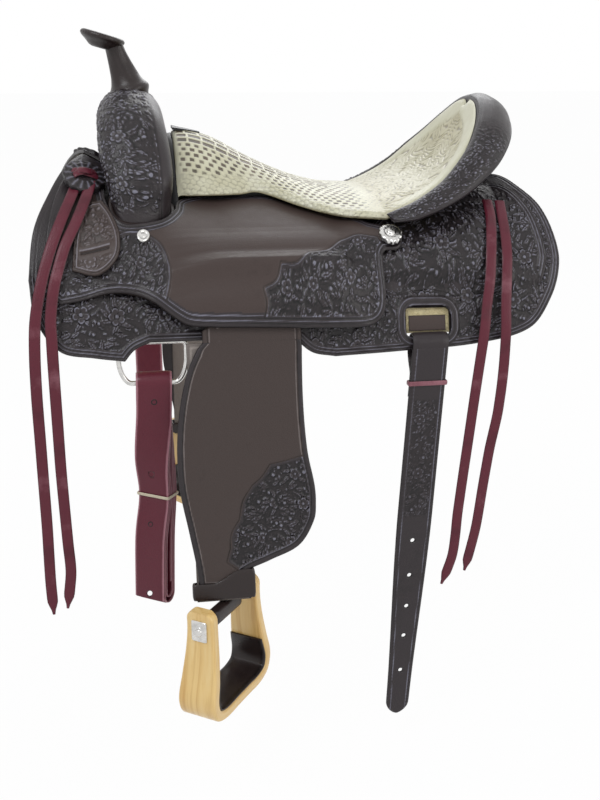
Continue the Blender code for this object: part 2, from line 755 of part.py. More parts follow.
def seat_rows():
    """Edge point, middle point of each row across the seat, front to back."""
    rows = []
    for k in range(SEAT_STEPS):
        share = k / SEAT_STEPS
        edge = along_run(SEAT_SIDE, share)
        middle = along_run(SEAT_MIDDLE, share)
        rows.append((edge, middle))
    for k in range(CANTLE_STEPS + 1):
        share = CANTLE_REACH * k / CANTLE_STEPS
        rows.append((along_run(RIM, share), along_run(CANTLE_MIDDLE, share)))
    return rows


SEAT_ACROSS = [-1.0, -0.94, -0.8, -0.6, -0.4, -0.2, 0.0, 0.2, 0.4, 0.6, 0.8, 0.94, 1.0]
SEAT_CROWN = 3.5


def seat_point(edge, middle, w, drop, edge_hold=1.0):
    """Point of the seat, w of the way across, drop under its top; the rim holds its edges."""
    x = middle.x + (edge.x - middle.x) * w * w
    z = middle.z + (edge.z - middle.z) * w * w
    lean = smooth_step(150, 250, middle.x)
    back = drop * 0.75 * lean * (1 - edge_hold * w * w)
    return Vector((x + back, edge.y * w, z - drop * (1 - 0.35 * lean)))


def build_seat():
    """Padded seat from the swell to the cantle, with its crown and drawn-in sides."""
    rings = []
    for number, (edge, middle) in enumerate(seat_rows()):
        last = number in (0, SEAT_STEPS + CANTLE_STEPS)
        ring = []
        for w in SEAT_ACROSS:
            rolled = 5.0 if abs(w) == 1.0 else 0.0
            crown = 0.0 if last else SEAT_CROWN * (1 - w * w)
            ring.append(tuple(seat_point(edge, middle, w, rolled - crown)))
        for w in reversed(SEAT_ACROSS):
            thick = SEAT_THICK - (SEAT_THICK - SEAT_EDGE) * w * w
            ring.append(tuple(seat_point(edge, middle, w * 0.985, thick)))
        rings.append(ring)
    loft("seat", rings, CREAM)


def bar_top_z(x, y):
    """Height of the tree bar's upper face at a point."""
    best = None
    for k in range(60):
        v = -230 + 3.2 * k
        spot = on_side(x, v, bar_high(x, v))
        if best is None or abs(spot[1] - y) < best[0]:
            best = (abs(spot[1] - y), spot[2])
    return best[1]


GROUND_HALF = 60.0
GROUND_THICK = 6.0


def build_ground_seat():
    """Built-up leather between the bars and the padded seat."""
    rows = seat_rows()[1:SEAT_STEPS]
    across = [k / 4 for k in range(-4, 5)]
    rings = []
    for edge, middle in rows:
        ring = []
        for w in across:
            reach = w * GROUND_HALF / edge.y
            ring.append(tuple(seat_point(edge, middle, reach, SEAT_THICK + 1.0)))
        for w in reversed(across):
            reach = w * GROUND_HALF / edge.y
            spot = seat_point(edge, middle, reach, SEAT_THICK + 1.0 + GROUND_THICK)
            if abs(w) > 0.9:
                spot.z = min(spot.z, bar_top_z(spot.x, GROUND_HALF) + FORK_FOOT_GAP)
            ring.append(tuple(spot))
        rings.append(ring)
    loft("ground_seat", rings, BROWN_LEATHER)


CANTLE_FIRST = {"cantle_board": 4, "cantle_back": 7}
CANTLE_TOP = 0.96
CANTLE_CLEAR = 1.6


def layer_top_z(x, y):
    """Height of the leather that the cantle stands over, at a point."""
    best = None
    for k in range(70):
        v = -250 + 3.2 * k
        top = rear_high(x, v) if v > -206 else SKIRT_HIGH
        spot = on_side(x, v, top)
        if best is None or abs(spot[1] - y) < best[0]:
            best = (abs(spot[1] - y), spot[2])
    return best[1]


def cantle_shell(name, drop, thick, colour):
    """A shell that follows the underside of the seat's cantle, down to the rear jockeys."""
    rows = seat_rows()[SEAT_STEPS + CANTLE_FIRST[name]:]
    rows.append((along_run(RIM, CANTLE_TOP), along_run(CANTLE_MIDDLE, CANTLE_TOP)))
    rings = []
    for edge, middle in rows:
        ring = [tuple(seat_point(edge, middle, w * 0.985, drop, 0.0)) for w in SEAT_ACROSS]
        for w in reversed(SEAT_ACROSS):
            spot = seat_point(edge, middle, w * 0.985, drop + thick, 0.0)
            spot.z = max(spot.z, layer_top_z(spot.x, abs(spot.y)) + CANTLE_CLEAR)
            ring.append(tuple(spot))
        rings.append(ring)
    loft(name, rings, colour)


def build_cantle():
    """Cantle board, its leather back and the rolled rim."""
    cantle_shell("cantle_board", SEAT_THICK + 1.0, CANTLE_THICK, RAWHIDE)
    cantle_shell("cantle_back", SEAT_THICK + CANTLE_THICK + 1.9, CANTLE_LEATHER, DARK_LEATHER)
    build_roll()


ROLL_SHAPE = [(0.8, -7), (0.8, -3), (4, 1.5), (12, 3.5), (24, 2), (35, -4), (43, -13), (46.5, -22),
              (43, -27), (37, -24), (30, -16), (20, -10), (10, -7.5)]


def build_roll():
    """Rolled rim of the cantle, curling down at its outer edge."""
    half = []
    count = 12
    for k in range(count + 1):
        share = 1.0 - k / count
        here = along_run(RIM, share)
        ahead = along_run(RIM, min(share + 0.02, 1.0))
        behind = along_run(RIM, max(share - 0.02, 0.0))
        along = (behind - ahead).normalized() if share < 1.0 else Vector((0, 1, 0))
        out = Vector((along.y, -along.x, 0)).normalized()
        up = out.cross(along).normalized()
        if up.z < 0:
            up = -up
        width = ROLL_WIDTH / 46.5 * (0.62 + 0.38 * smooth_step(0.0, 0.75, share))
        ring = []
        for a, b in ROLL_SHAPE:
            spot = here + out * a * width + up * b * (0.55 + 0.45 * smooth_step(0.0, 0.6, share))
            ring.append(tuple(spot))
        half.append(ring)
    loft("cantle_roll", both_ways(half, []), DARK_LEATHER)


FENDER_LEFT = [(-145, 302), (-147, 278), (-154, 236), (-163, 182), (-164, 135), (-159, 89), (-149, 48),
               (-136, 20), (-129, 8)]
FENDER_RIGHT = [(-12, 8), (-13, 84), (-10, 144), (-3, 185), (-2, 205), (-5, 228), (-24, 257), (-60, 273),
                (-88, 284), (-112, 303)]
FENDER_TOP_X = (-129.0, -12.0)
LEG_PIVOT_X = -78.0
UPPER_REACH = 32.0


def build_fender(label, side):
    """Upper piece under the jockey, the fender and the strap behind it."""
    left, right = FENDER_TOP_X
    middle = (left + right) / 2
    upper = [(left, FLEX_S - FLEX_GAP, 1), (left, FLEX_S - 14, 1), (middle - 30, FLEX_S - UPPER_REACH),
             (middle, FLEX_S - UPPER_REACH - 8), (middle + 30, FLEX_S - UPPER_REACH), (right, FLEX_S - 14, 1),
             (right, FLEX_S - FLEX_GAP, 1)]
    top = sheet(label + "_fender_top", flat_mesh(outline(upper), grid=(60, 60)), STRAP_LOW, FENDER_HIGH,
                on_plane, side, BROWN_LEATHER)
    lower = [(left, FLEX_S, 1)] + [(right, FLEX_S, 1)] + FENDER_RIGHT[1:-1]
    lower += [FENDER_RIGHT[-1] + (1,), FENDER_LEFT[0] + (1,)] + FENDER_LEFT[1:-1]
    fender = sheet(label + "_fender", flat_mesh(outline(lower, 20), grid=(60, 60)), FENDER_LOW, FENDER_HIGH,
                   on_plane, side, BROWN_LEATHER)
    half = STRAP_WIDTH / 2
    corners = [(STRAP_X - half, FLEX_S, 1), (STRAP_X + half, FLEX_S, 1),
               (STRAP_X + half, TURN_S - TURN_GAP, 1), (STRAP_X - half, TURN_S - TURN_GAP, 1)]
    strap = sheet(label + "_stirrup_leather", flat_mesh(outline(corners, 60), grid=(90, 90)), STRAP_LOW,
                  STRAP_LOW + STRAP_THICK, on_plane, side, BROWN_LEATHER)
    rows = {}
    for kind, grow, bevel in (("outer", HOBBLE_FIT + HOBBLE_THICK, 3.0), ("inner", HOBBLE_FIT, 0.6)):
        rows[kind] = []
        for s in (HOBBLE_S, HOBBLE_S + HOBBLE_WIDTH):
            h_half = (FENDER_HIGH - STRAP_LOW) / 2 + grow
            h_mid = (FENDER_HIGH + STRAP_LOW) / 2
            ring = []
            for a, b in box_ring(half + 1.5 + grow, h_half, bevel):
                x, y, z = on_plane(STRAP_X + a, s, h_mid + b)
                ring.append((x, side * y, z))
            rows[kind].append(ring)
    hobble = sleeve(label + "_hobble_strap", rows["outer"], rows["inner"], BROWN_LEATHER)
    return [top], [fender, strap, hobble]


def turned(side):
    """The stirrup's frame: along the bolt, down, and depth, for one side."""
    down = Vector((0, 0, -1))
    c = math.cos(STIRRUP_TURN)
    s = math.sin(STIRRUP_TURN)
    bolt = Vector((-c, s, 0))
    deep = Vector((s, c, 0))
    centre = Vector(on_plane(STRAP_X, TURN_S, STRAP_LOW + STRAP_THICK / 2)) + down * BOLT_DROP

    def spot(u, p, w):
        point = centre + bolt * u + down * p + deep * w
        return (point.x, side * point.y, point.z)
    return spot


STIRRUP_HALF = [(STIRRUP_ARM_HALF, -STIRRUP_ABOVE), (STIRRUP_ARM_HALF - 1, 0), (STIRRUP_ARM_HALF + 1, 30),
                (STIRRUP_ARM_HALF + 6, 60), (STIRRUP_TREAD_HALF, 88), (STIRRUP_TREAD_HALF - 6, 105),
                (STIRRUP_TREAD_HALF - 24, STIRRUP_DROP - STIRRUP_THICK / 2),
                (TREAD_FLAT_HALF, STIRRUP_DROP - STIRRUP_THICK / 2)]


def stirrup_line(inward, low=None):
    """Centre line of the bent strip from arm to arm, shifted inward; low trims the arms."""
    run = smooth_run(STIRRUP_HALF, 17.0)
    whole = run + [Vector((-p.x, p.y)) for p in reversed(run)]
    stations = []
    for k, point in enumerate(whole):
        ahead = whole[min(k + 1, len(whole) - 1)]
        behind = whole[max(k - 1, 0)]
        along = (ahead - behind).normalized()
        inner = Vector((-along.y, along.x))
        if low is None or point.y > low:
            stations.append((point + inner * inward, inner))
    return stations


def strip_depth(p):
    return STIRRUP_TOP_DEPTH + (STIRRUP_TREAD_DEPTH - STIRRUP_TOP_DEPTH) * smooth_step(-10, 95, p)


def build_stirrup(label, side):
    """Bent wooden stirrup, its tread leather, its bolt and the leather loop that it hangs on."""
    spot = turned(side)
    half = STIRRUP_THICK / 2
    rings = []
    for point, inner in stirrup_line(0.0):
        depth = strip_depth(point.y) / 2
        ring = []
        for a, w in ((half, depth - 4), (half - 3, depth), (-half + 3, depth), (-half, depth - 4),
                     (-half, -depth + 4), (-half + 3, -depth), (half - 3, -depth), (half, -depth + 4)):
            place = point + inner * a
            ring.append(spot(place.x, place.y, w))
        rings.append(ring)
    stirrup = loft(label + "_stirrup", rings, WOOD, roughness=0.4)
    bore_rings = [[spot(u, (BOLT_RADIUS + BOLT_FIT) * math.cos(k * math.pi / 8),
                        (BOLT_RADIUS + BOLT_FIT) * math.sin(k * math.pi / 8)) for k in range(16)]
                  for u in (-80, 80)]
    cut(stirrup, loft(label + "_bolt_bore", bore_rings, WOOD))

    rings = []
    for point, inner in stirrup_line(half + 0.4, 58.0):
        depth = strip_depth(point.y) / 2 - 1
        over = point + inner * TREAD_LEATHER
        rings.append([spot(point.x, point.y, depth), spot(over.x, over.y, depth),
                      spot(over.x, over.y, -depth), spot(point.x, point.y, -depth)])
    tread = loft(label + "_stirrup_tread", rings, DARK_LEATHER)

    outside = STIRRUP_ARM_HALF + half + 0.3
    rings = []
    for u, radius in ((-outside - WASHER_THICK, WASHER_RADIUS - 1), (-outside - 0.5, WASHER_RADIUS),
                      (-outside, WASHER_RADIUS), (-outside, BOLT_RADIUS), (outside, BOLT_RADIUS),
                      (outside, WASHER_RADIUS), (outside + 0.5, WASHER_RADIUS),
                      (outside + WASHER_THICK, WASHER_RADIUS - 1)):
        rings.append([spot(u, radius * math.cos(k * math.pi / 8), radius * math.sin(k * math.pi / 8))
                      for k in range(16)])
    bolt = loft(label + "_stirrup_bolt", rings, NICKEL, metallic=1.0, roughness=0.3)

    top = WEDGE_GAP - BOLT_DROP
    inside_radius = BOLT_RADIUS + 0.4
    outside_radius = inside_radius + STRAP_THICK
    outer = []
    inner = []
    for u in (-29, 29):
        outer_ring = []
        inner_ring = []
        for k in range(16):
            angle = 2 * math.pi * k / 16
            p = outside_radius * math.cos(angle)
            w = outside_radius * math.sin(angle)
            if p < 0:
                p = max(top, p * 2.2)
                w = w * (1.0 if p > top else 0.8)
            outer_ring.append(spot(u, p, w))
            inner_ring.append(spot(u, inside_radius * math.cos(angle), inside_radius * math.sin(angle)))
        outer.append(outer_ring)
        inner.append(inner_ring)
    loop = sleeve(label + "_leather_loop", outer, inner, BROWN_LEATHER)
    return loop, [stirrup, tread, bolt]


def build_leg(label, side):
    """One stirrup leg and its chain of joints."""
    upper, lower = build_fender(label, side)
    loop, stirrup = build_stirrup(label, side)
    x, y, z = on_plane(LEG_PIVOT_X, SWING_S, STRAP_LOW)
    swing = joint_at(label + "_fender_swing", (x, side * y, z))
    x, y, z = on_plane(LEG_PIVOT_X, FLEX_S, FENDER_HIGH)
    flex = joint_at(label + "_fender_lift", (x, side * y, z))
    x, y, z = on_plane(STRAP_X, TURN_S, STRAP_LOW + STRAP_THICK / 2)
    turn = joint_at(label + "_stirrup_turn", (x, side * y, z))
    pivot = joint_at(label + "_stirrup_pivot", turned(side)(0, 0, 0))
    carry(swing, upper + [flex])
    carry(flex, lower + [turn])
    carry(turn, [loop, pivot])
    carry(pivot, stirrup)


DEE_S = 8.0
DEE_GAP = 0.3
DEE_FLAT = 25.0


def dee_spot(x, down, out, side):
    """Point of the dee's plane, which hangs plumb from its top bar against the skirt."""
    top = on_plane(DEE_X, DEE_S, SKIRT_LOW - DEE_ROD - DEE_GAP)
    return (DEE_X + x, side * (top[1] + out), top[2] - down)


def dee_middle(side):
    """Centre of the dee's lower bar, which the latigo swings on."""
    return dee_spot(0.0, DEE_DROP, 0.0, side)


def build_dee(label, side):
    """Steel rigging dee under the skirt's front arch."""
    path = [(-DEE_HALF, 6), (-DEE_HALF + 6, 0), (DEE_HALF - 6, 0), (DEE_HALF, 6)]
    for k in range(7):
        angle = math.pi / 2 * k / 6
        across = DEE_FLAT + (DEE_HALF - DEE_FLAT) * math.cos(angle)
        path.append((across, 18 + (DEE_DROP - 18) * math.sin(angle)))
    path += [(-x, s) for x, s in reversed(path[4:])]
    count = len(path)
    points = []
    sides = 8
    for k, (x, s) in enumerate(path):
        ahead = Vector(path[(k + 1) % count])
        behind = Vector(path[k - 1])
        along = (ahead - behind).normalized()
        out = Vector((along.y, -along.x))
        for j in range(sides):
            angle = 2 * math.pi * (j + 0.5) / sides
            flat = Vector((x, s)) + out * DEE_ROD * math.cos(angle)
            points.append(dee_spot(flat.x, flat.y, DEE_ROD * math.sin(angle), side))
    faces = []
    for k in range(count):
        for j in range(sides):
            a = k * sides + j
            b = k * sides + (j + 1) % sides
            c = (k + 1) % count * sides
            faces.append((a, b, c + (j + 1) % sides, c + j))
    make(label + "_front_dee", points, faces, NICKEL, metallic=1.0, roughness=0.35)


def ribbon(name, stations, thick, colour, **look):
    """A flat strap: stations of (centre, half width vector), its thickness across both."""
    rings = []
    last = len(stations) - 1
    for k, (centre, half) in enumerate(stations):
        along = (stations[min(k + 1, last)][0] - stations[max(k - 1, 0)][0]).normalized()
        normal = along.cross(half).normalized() * thick / 2
        rings.append([tuple(centre - half - normal), tuple(centre + half - normal),
                      tuple(centre + half + normal), tuple(centre - half + normal)])
    return loft(name, rings, colour, **look)


def arc(cx, cz, radius, start, end, count=6):
    """Points of a half turn in a strap's depth plane."""
    result = []
    for k in range(1, count):
        angle = start + (end - start) * k / count
        result.append((cx + radius * math.cos(angle), cz + radius * math.sin(angle)))
    return result


TIE_WALL = (("outer", 2.4, 1.8), ("inner", 0.7, 0.5))
TIE_WIDTH = 6.0


def latigo_waist(height):
    """How far the hank is drawn in at a height under the dee, 1 at its tie."""
    return math.exp(-((height / LATIGO_LENGTH + 0.5) / 0.13) ** 2)


def latigo_spot(across, depth, height):
    """World point of the hank, which leans forward and turns a little on its way down."""
    turn = LATIGO_TWIST * smooth_step(0.08, 0.5, -height / LATIGO_LENGTH)
    forward = LATIGO_LEAN * height + LATIGO_PINCH * latigo_waist(height)
    x = across * math.cos(turn) - depth * math.sin(turn)
    y = -depth * math.cos(turn) - across * math.sin(turn)
    return Vector(dee_middle(-1)) + Vector((forward + x, y, height))


def latigo_path():
    """(depth, height, drawn) points of one unbroken strap, folded in six runs over the dee."""
    layers = [LATIGO_INNER + LATIGO_PITCH * k for k in range(3)]
    low = -LATIGO_LENGTH
    shares = [0.0, 0.12, 0.28, 0.38, 0.45, 0.5, 0.55, 0.62, 0.72, 0.86]

    def run(depth, bottom, upward):
        rows = []
        for share in shares:
            squeeze = (LATIGO_INNER - LATIGO_PITCH / 2) * latigo_waist(share * low)
            rows.append((depth - math.copysign(squeeze, depth), share * low))
        rows.append((depth, bottom))
        return list(reversed(rows)) if upward else rows

    path = run(-layers[0], low + 26, True)
    path += arc(0, 0, layers[0], math.pi, 0)
    path += run(layers[0], low + 14, False)
    path += arc(-LATIGO_PITCH / 2, low + 14, layers[0] + LATIGO_PITCH / 2, 0, -math.pi)
    path += run(-layers[1], low + 14, True)
    path += arc(0, 0, layers[1], math.pi, 0)
    path += run(layers[1], low + 10, False)
    path += arc(-LATIGO_PITCH / 2, low + 10, layers[1] + LATIGO_PITCH / 2, 0, -math.pi)
    path += run(-layers[2], low + 10, True)
    path += arc(0, 0, layers[2], math.pi, 0)
    path += run(layers[2], low + 6, False)
    return path


def least_self_gap(path, thick):
    """Smallest clear distance between stretches of a folded strap that aren't neighbours."""
    run = []
    for a, b in zip(path, path[1:]):
        start, end = Vector(a), Vector(b)
        count = max(1, int((end - start).length / 2))
        run += [start.lerp(end, k / count) for k in range(count)]
    lengths = [0.0]
    for a, b in zip(run, run[1:]):
        lengths.append(lengths[-1] + (b - a).length)
    least = 1e9
    for i in range(0, len(run), 2):
        for j in range(i + 1, len(run)):
            if lengths[j] - lengths[i] > 4 * thick:
                least = min(least, (run[i] - run[j]).length - thick)
    return least, lengths[-1]


def build_latigo():
    """Near latigo hung on the dee, drawn in at its waist by a tie."""
    centre = Vector(dee_middle(-1))
    path = latigo_path()
    gap, length = least_self_gap(path, LATIGO_THICK)
    print("latigo length mm", round(length), "least gap to itself mm", round(gap, 2))
    stations = []
    for depth, height in path:
        edges = [latigo_spot(across, depth, height) for across in (-LATIGO_WIDTH / 2, LATIGO_WIDTH / 2)]
        stations.append(((edges[0] + edges[1]) / 2, (edges[1] - edges[0]) / 2))
    latigo = ribbon("latigo", stations, LATIGO_THICK, BURGUNDY)
    outer_depth = 2 * LATIGO_PITCH + LATIGO_PITCH / 2 + LATIGO_THICK / 2
    rows = {}
    for kind, grow, bevel in TIE_WALL:
        rows[kind] = []
        for height in (-LATIGO_LENGTH / 2 - 1.5, -LATIGO_LENGTH / 2 - 1.5 + TIE_WIDTH):
            ring = []
            for a, b in box_ring(LATIGO_WIDTH / 2 + grow, outer_depth + grow, bevel):
                ring.append(tuple(latigo_spot(a, b, height)))
            rows[kind].append(ring)
    tie = sleeve("latigo_tie", rows["outer"], rows["inner"], CREAM)
    carry(joint_at("latigo_swing", tuple(centre)), [latigo, tie])


BILLET_RADIUS = 10.0
BILLET_REACH = 492.0
BILLET_LEAN = 0.075
BILLET_OUT = 0.063
BILLET_HOLES = [250.6, 297.5, 339.8, 380.8, 429.6]
PUNCH_RADIUS = 2.8
LACE_DROP = 44.0


def strap_loop(length, back, radius, thick, meet):
    """(down, depth) points of a strap that turns over a bar and comes back behind itself."""
    mid = radius + thick / 2
    front = [(length * k / 10, mid) for k in range(10, 0, -1)]
    turn = [(-mid * math.sin(math.pi * k / 8), mid * math.cos(math.pi * k / 8)) for k in range(9)]
    inner = mid - thick - 0.4
    rear = [(meet * 0.3, -mid), (meet * 0.65, -mid * 0.35), (meet, inner - 1.0), (meet + 8, inner),
            (meet + back, inner)]
    return front + turn + rear


def build_rear_billet(label, side):
    """Rear billet looped through the skirt's slot, laced under the strip, with its holes."""
    strip_s = (STRIP_TOP + 31.0) / 2
    x, y, z = on_plane(SLOT_X, strip_s, (SKIRT_LOW + SKIRT_HIGH) / 2)
    centre = Vector((x, side * y, z))
    down = Vector((-BILLET_LEAN, side * BILLET_OUT, -1.0)).normalized()
    wide = Vector((1, 0, 0))
    deep = down.cross(wide).normalized()
    if deep.y * side < 0:
        deep = -deep
    path = strap_loop(BILLET_REACH, 30, BILLET_RADIUS, BILLET_THICK, 34.0)
    stations = []
    for p, q in path:
        taper = smooth_step(210, BILLET_REACH, p) * 0.33
        point = 0.55 if p > BILLET_REACH - 5 else 1.0
        half = wide * BILLET_WIDTH / 2 * (1 - taper) * point
        stations.append((centre + down * p + deep * q, half))
    billet = ribbon(label + "_rear_billet", stations, BILLET_THICK, DARK_LEATHER)
    points = []
    faces = []
    for p in BILLET_HOLES:
        first = len(points)
        for q in (BILLET_RADIUS - 4, BILLET_RADIUS + 8):
            for k in range(10):
                angle = 2 * math.pi * k / 10
                spot = centre + down * (p + PUNCH_RADIUS * math.cos(angle)) + deep * q
                spot += wide * PUNCH_RADIUS * math.sin(angle)
                points.append(tuple(spot))
        for k in range(10):
            a = first + k
            b = first + (k + 1) % 10
            faces.append((a, b, b + 10, a + 10))
        faces.append(tuple(range(first, first + 10)))
        faces.append(tuple(range(first + 10, first + 20)))
    cut(billet, make(label + "_billet_punch", points, faces, DARK_LEATHER))
    mid = BILLET_RADIUS - 0.2
    rows = {}
    for kind, grow, bevel in TIE_WALL:
        rows[kind] = []
        for p in (LACE_DROP, LACE_DROP + TIE_WIDTH):
            ring = []
            for a, b in box_ring(BILLET_WIDTH / 2 + grow, BILLET_THICK + 0.2 + grow, bevel):
                ring.append(tuple(centre + down * p + wide * a + deep * (mid + b)))
            rows[kind].append(ring)
    lace = sleeve(label + "_billet_lace", rows["outer"], rows["inner"], BURGUNDY)
    carry(joint_at(label + "_billet_swing", tuple(centre)), [billet, lace])


OFF_BILLET_REACH = 300.0


def build_off_billet():
    """Plain billet folded over the off dee."""
    centre = Vector(dee_middle(1))
    stations = []
    half = Vector((LATIGO_WIDTH / 2, 0, 0))
    for p, q in strap_loop(OFF_BILLET_REACH, 120, DEE_ROD + 0.5, BILLET_THICK, 26.0):
        stations.append((centre + Vector((0, q, -p)), half))
    billet = ribbon("off_billet", stations, BILLET_THICK, BURGUNDY)
    carry(joint_at("off_billet_swing", tuple(centre)), [billet])


STRINGS = {
    "front_string_fore": ([(-265, -178, 6.0), (-274, -152, 8.2), (-286, -122, 8.2), (-297, -94, 8.0),
                           (-307, -64, 6.4), (-314, -36, 5.6), (-318, -12, 5.0)],
                          [(-320, 237, -92), (-321, 238, -133), (-321, 238, -188), (-321, 238, -242),
                           (-321, 238, -303), (-322, 238, -372), (-321, 238, -416)]),
    "front_string_aft": ([(-249, -178, 6.6), (-255, -152, 8.4), (-267, -124, 8.6), (-280, -98, 8.4),
                          (-295, -52, 6.4), (-300, -20, 5.4), (-300, 2, 5.0)],
                         [(-300, 237, -92), (-300, 238, -134), (-300, 238, -180), (-300, 238, -227),
                          (-299, 238, -281), (-298, 238, -324), (-297, 238, -359), (-304, 238, -409)]),
    "rear_string_fore": ([(240, -146, 0.8), (237, -121, 1.8), (231, -95, 3.0), (225, -68, 4.6),
                          (221, -43, 5.4), (216, -18, 7.0)],
                         [(212, 236, -78), (208, 239, -108), (203, 239, -158), (198, 239, -211),
                          (193, 239, -263), (188, 239, -319), (184, 239, -373), (171, 239, -414)]),
    "rear_string_aft": ([(256, -146, 1.8), (253, -121, 2.2), (250, -95, 3.0), (246, -68, 4.6),
                         (243, -43, 5.4), (240, -18, 7.0)],
                        [(239, 236, -78), (238, 239, -113), (237, 239, -141), (233, 239, -187),
                         (226, 239, -228), (219, 239, -286), (213, 239, -339), (201, 239, -397)]),
}
STRING_STEP = 28.0


def build_strings(label, side, jockey, rear):
    """Four tie strings: over the leather by lift, then hanging free."""
    for name, (laid, hanging) in STRINGS.items():
        points = []
        for x, v, lift in laid:
            tree = jockey if x < 0 else rear
            points.append(on_side(x, v, top_height(tree, x, v) + lift))
        points += hanging
        run = smooth_run(points, STRING_STEP)
        length = sum((b - a).length for a, b in zip(run, run[1:]))
        if side < 0:
            print(name, "length mm", round(length))
        stations = []
        last = len(run) - 1
        for k, point in enumerate(run):
            along = (run[min(k + 1, last)] - run[max(k - 1, 0)]).normalized()
            wide = Vector((1, 0, 0))
            wide = (wide - along * wide.dot(along)).normalized()
            stations.append((Vector((point.x, side * point.y, point.z)),
                             Vector((wide.x, side * wide.y, wide.z)) * STRING_WIDTH / 2))
        ribbon(label + "_" + name, stations, STRING_THICK, BURGUNDY)


def main():
    for item in list(bpy.data.objects):
        bpy.data.objects.remove(item, do_unlink=True)
    build_front()
    build_seat()
    build_ground_seat()
    build_cantle()
    for label, side in SIDES:
        jockey, rear = build_side_layers(label, side)
        build_fittings(label, side, jockey)
        build_leg(label, side)
        build_dee(label, side)
        if side < 0:
            build_rear_billet(label, side)
            build_strings(label, side, jockey, rear)
    build_latigo()
    build_off_billet()


main()
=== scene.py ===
"""Looks of the trail saddle: fine leather, carving, print, fleece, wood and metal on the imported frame.

Lengths are in millimetres until a mesh is made. The side surface has the coordinates x and v that the
part's own source uses, and each piece lies at a height h out from it.
"""
import math
import random

import bmesh
import bpy
import numpy as np
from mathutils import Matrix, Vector
from mathutils.bvhtree import BVHTree
from mathutils.geometry import delaunay_2d_cdt


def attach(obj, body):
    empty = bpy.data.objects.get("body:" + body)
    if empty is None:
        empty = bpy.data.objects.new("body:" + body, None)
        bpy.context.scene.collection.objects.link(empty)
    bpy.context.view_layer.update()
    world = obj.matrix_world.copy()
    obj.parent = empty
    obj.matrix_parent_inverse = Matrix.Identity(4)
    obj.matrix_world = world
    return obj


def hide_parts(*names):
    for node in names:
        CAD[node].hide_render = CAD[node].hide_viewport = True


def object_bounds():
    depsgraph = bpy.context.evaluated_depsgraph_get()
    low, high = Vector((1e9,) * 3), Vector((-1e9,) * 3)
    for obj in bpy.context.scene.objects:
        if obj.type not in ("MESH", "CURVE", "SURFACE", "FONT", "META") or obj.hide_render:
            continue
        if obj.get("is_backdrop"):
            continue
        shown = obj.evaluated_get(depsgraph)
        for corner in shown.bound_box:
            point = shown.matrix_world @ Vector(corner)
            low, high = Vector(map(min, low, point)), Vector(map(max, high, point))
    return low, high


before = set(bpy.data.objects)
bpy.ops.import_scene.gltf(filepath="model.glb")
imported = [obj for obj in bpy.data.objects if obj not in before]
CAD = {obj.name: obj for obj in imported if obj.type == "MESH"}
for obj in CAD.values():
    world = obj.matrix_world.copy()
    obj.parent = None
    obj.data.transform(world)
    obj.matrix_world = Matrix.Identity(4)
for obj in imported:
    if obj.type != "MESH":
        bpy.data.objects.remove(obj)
CAD_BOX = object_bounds()
MM = 0.001

# The back and the layers on it.
KNEE = (207.0, -75.0)
SLOPE = math.radians(76.0)
SIN, COS = math.sin(SLOPE), math.cos(SLOPE)
FLEECE_THICK = 10.5
SKIRT_LOW = 11.4
SKIRT_HIGH = 16.4
BAR_LOW = 18.0
JOCKEY_THICK = 4.0
REAR_THICK = 3.0
STRAP_LOW = 17.9
STRAP_THICK = 3.5
FENDER_LOW = 21.8
FENDER_HIGH = 25.8
BAR_MIDDLE = -122.5
BAR_HALF = 72.5
BAR_REACH = 245.0
BAR_ROUND = 22.0
HUMP = 25.0
HUMP_GROW = 12.0
SWELL_FOOT = (-190.0, -143.5)
STEP = 1.15
EVEN_RIM = 0.8
CAPPED = ("start", "end")
SIDES = (("near", -1), ("off", 1))
FLIP = np.array([1, -1, 1])

# Camera of the photograph.
CAMERA_PLACE = (-203.0, -1427.0, 232.0)
CAMERA_AZIMUTH = math.radians(-9.0)
CAMERA_HEIGHT = math.radians(17.8)
CAMERA_LENS = 47.475
FLOOR_REACH = 30.0
FLOOR_HEIGHT = -0.62


def ss(start, end, value):
    share = np.clip((np.asarray(value, float) - start) / (end - start), 0.0, 1.0)
    return share * share * (3.0 - 2.0 * share)

def unit(rows):
    return rows / np.linalg.norm(rows, axis=-1, keepdims=True)

def run_lengths(points):
    """Length along a run of points, up to each of them."""
    return np.concatenate([[0.0], np.cumsum(np.linalg.norm(np.diff(points, axis=0), axis=1))])

def ring_angles(count):
    return np.arange(count) * 2 * math.pi / count


def ridge(x):
    front = np.clip((-90.0 - x) / 235.0, 0.0, 1.0)
    rear = np.clip((x - 90.0) / 228.0, 0.0, 1.0)
    return 20.0 + 110.0 * np.sin(math.pi / 2 * front) ** 2 + 72.0 * np.sin(math.pi / 2 * rear) ** 2


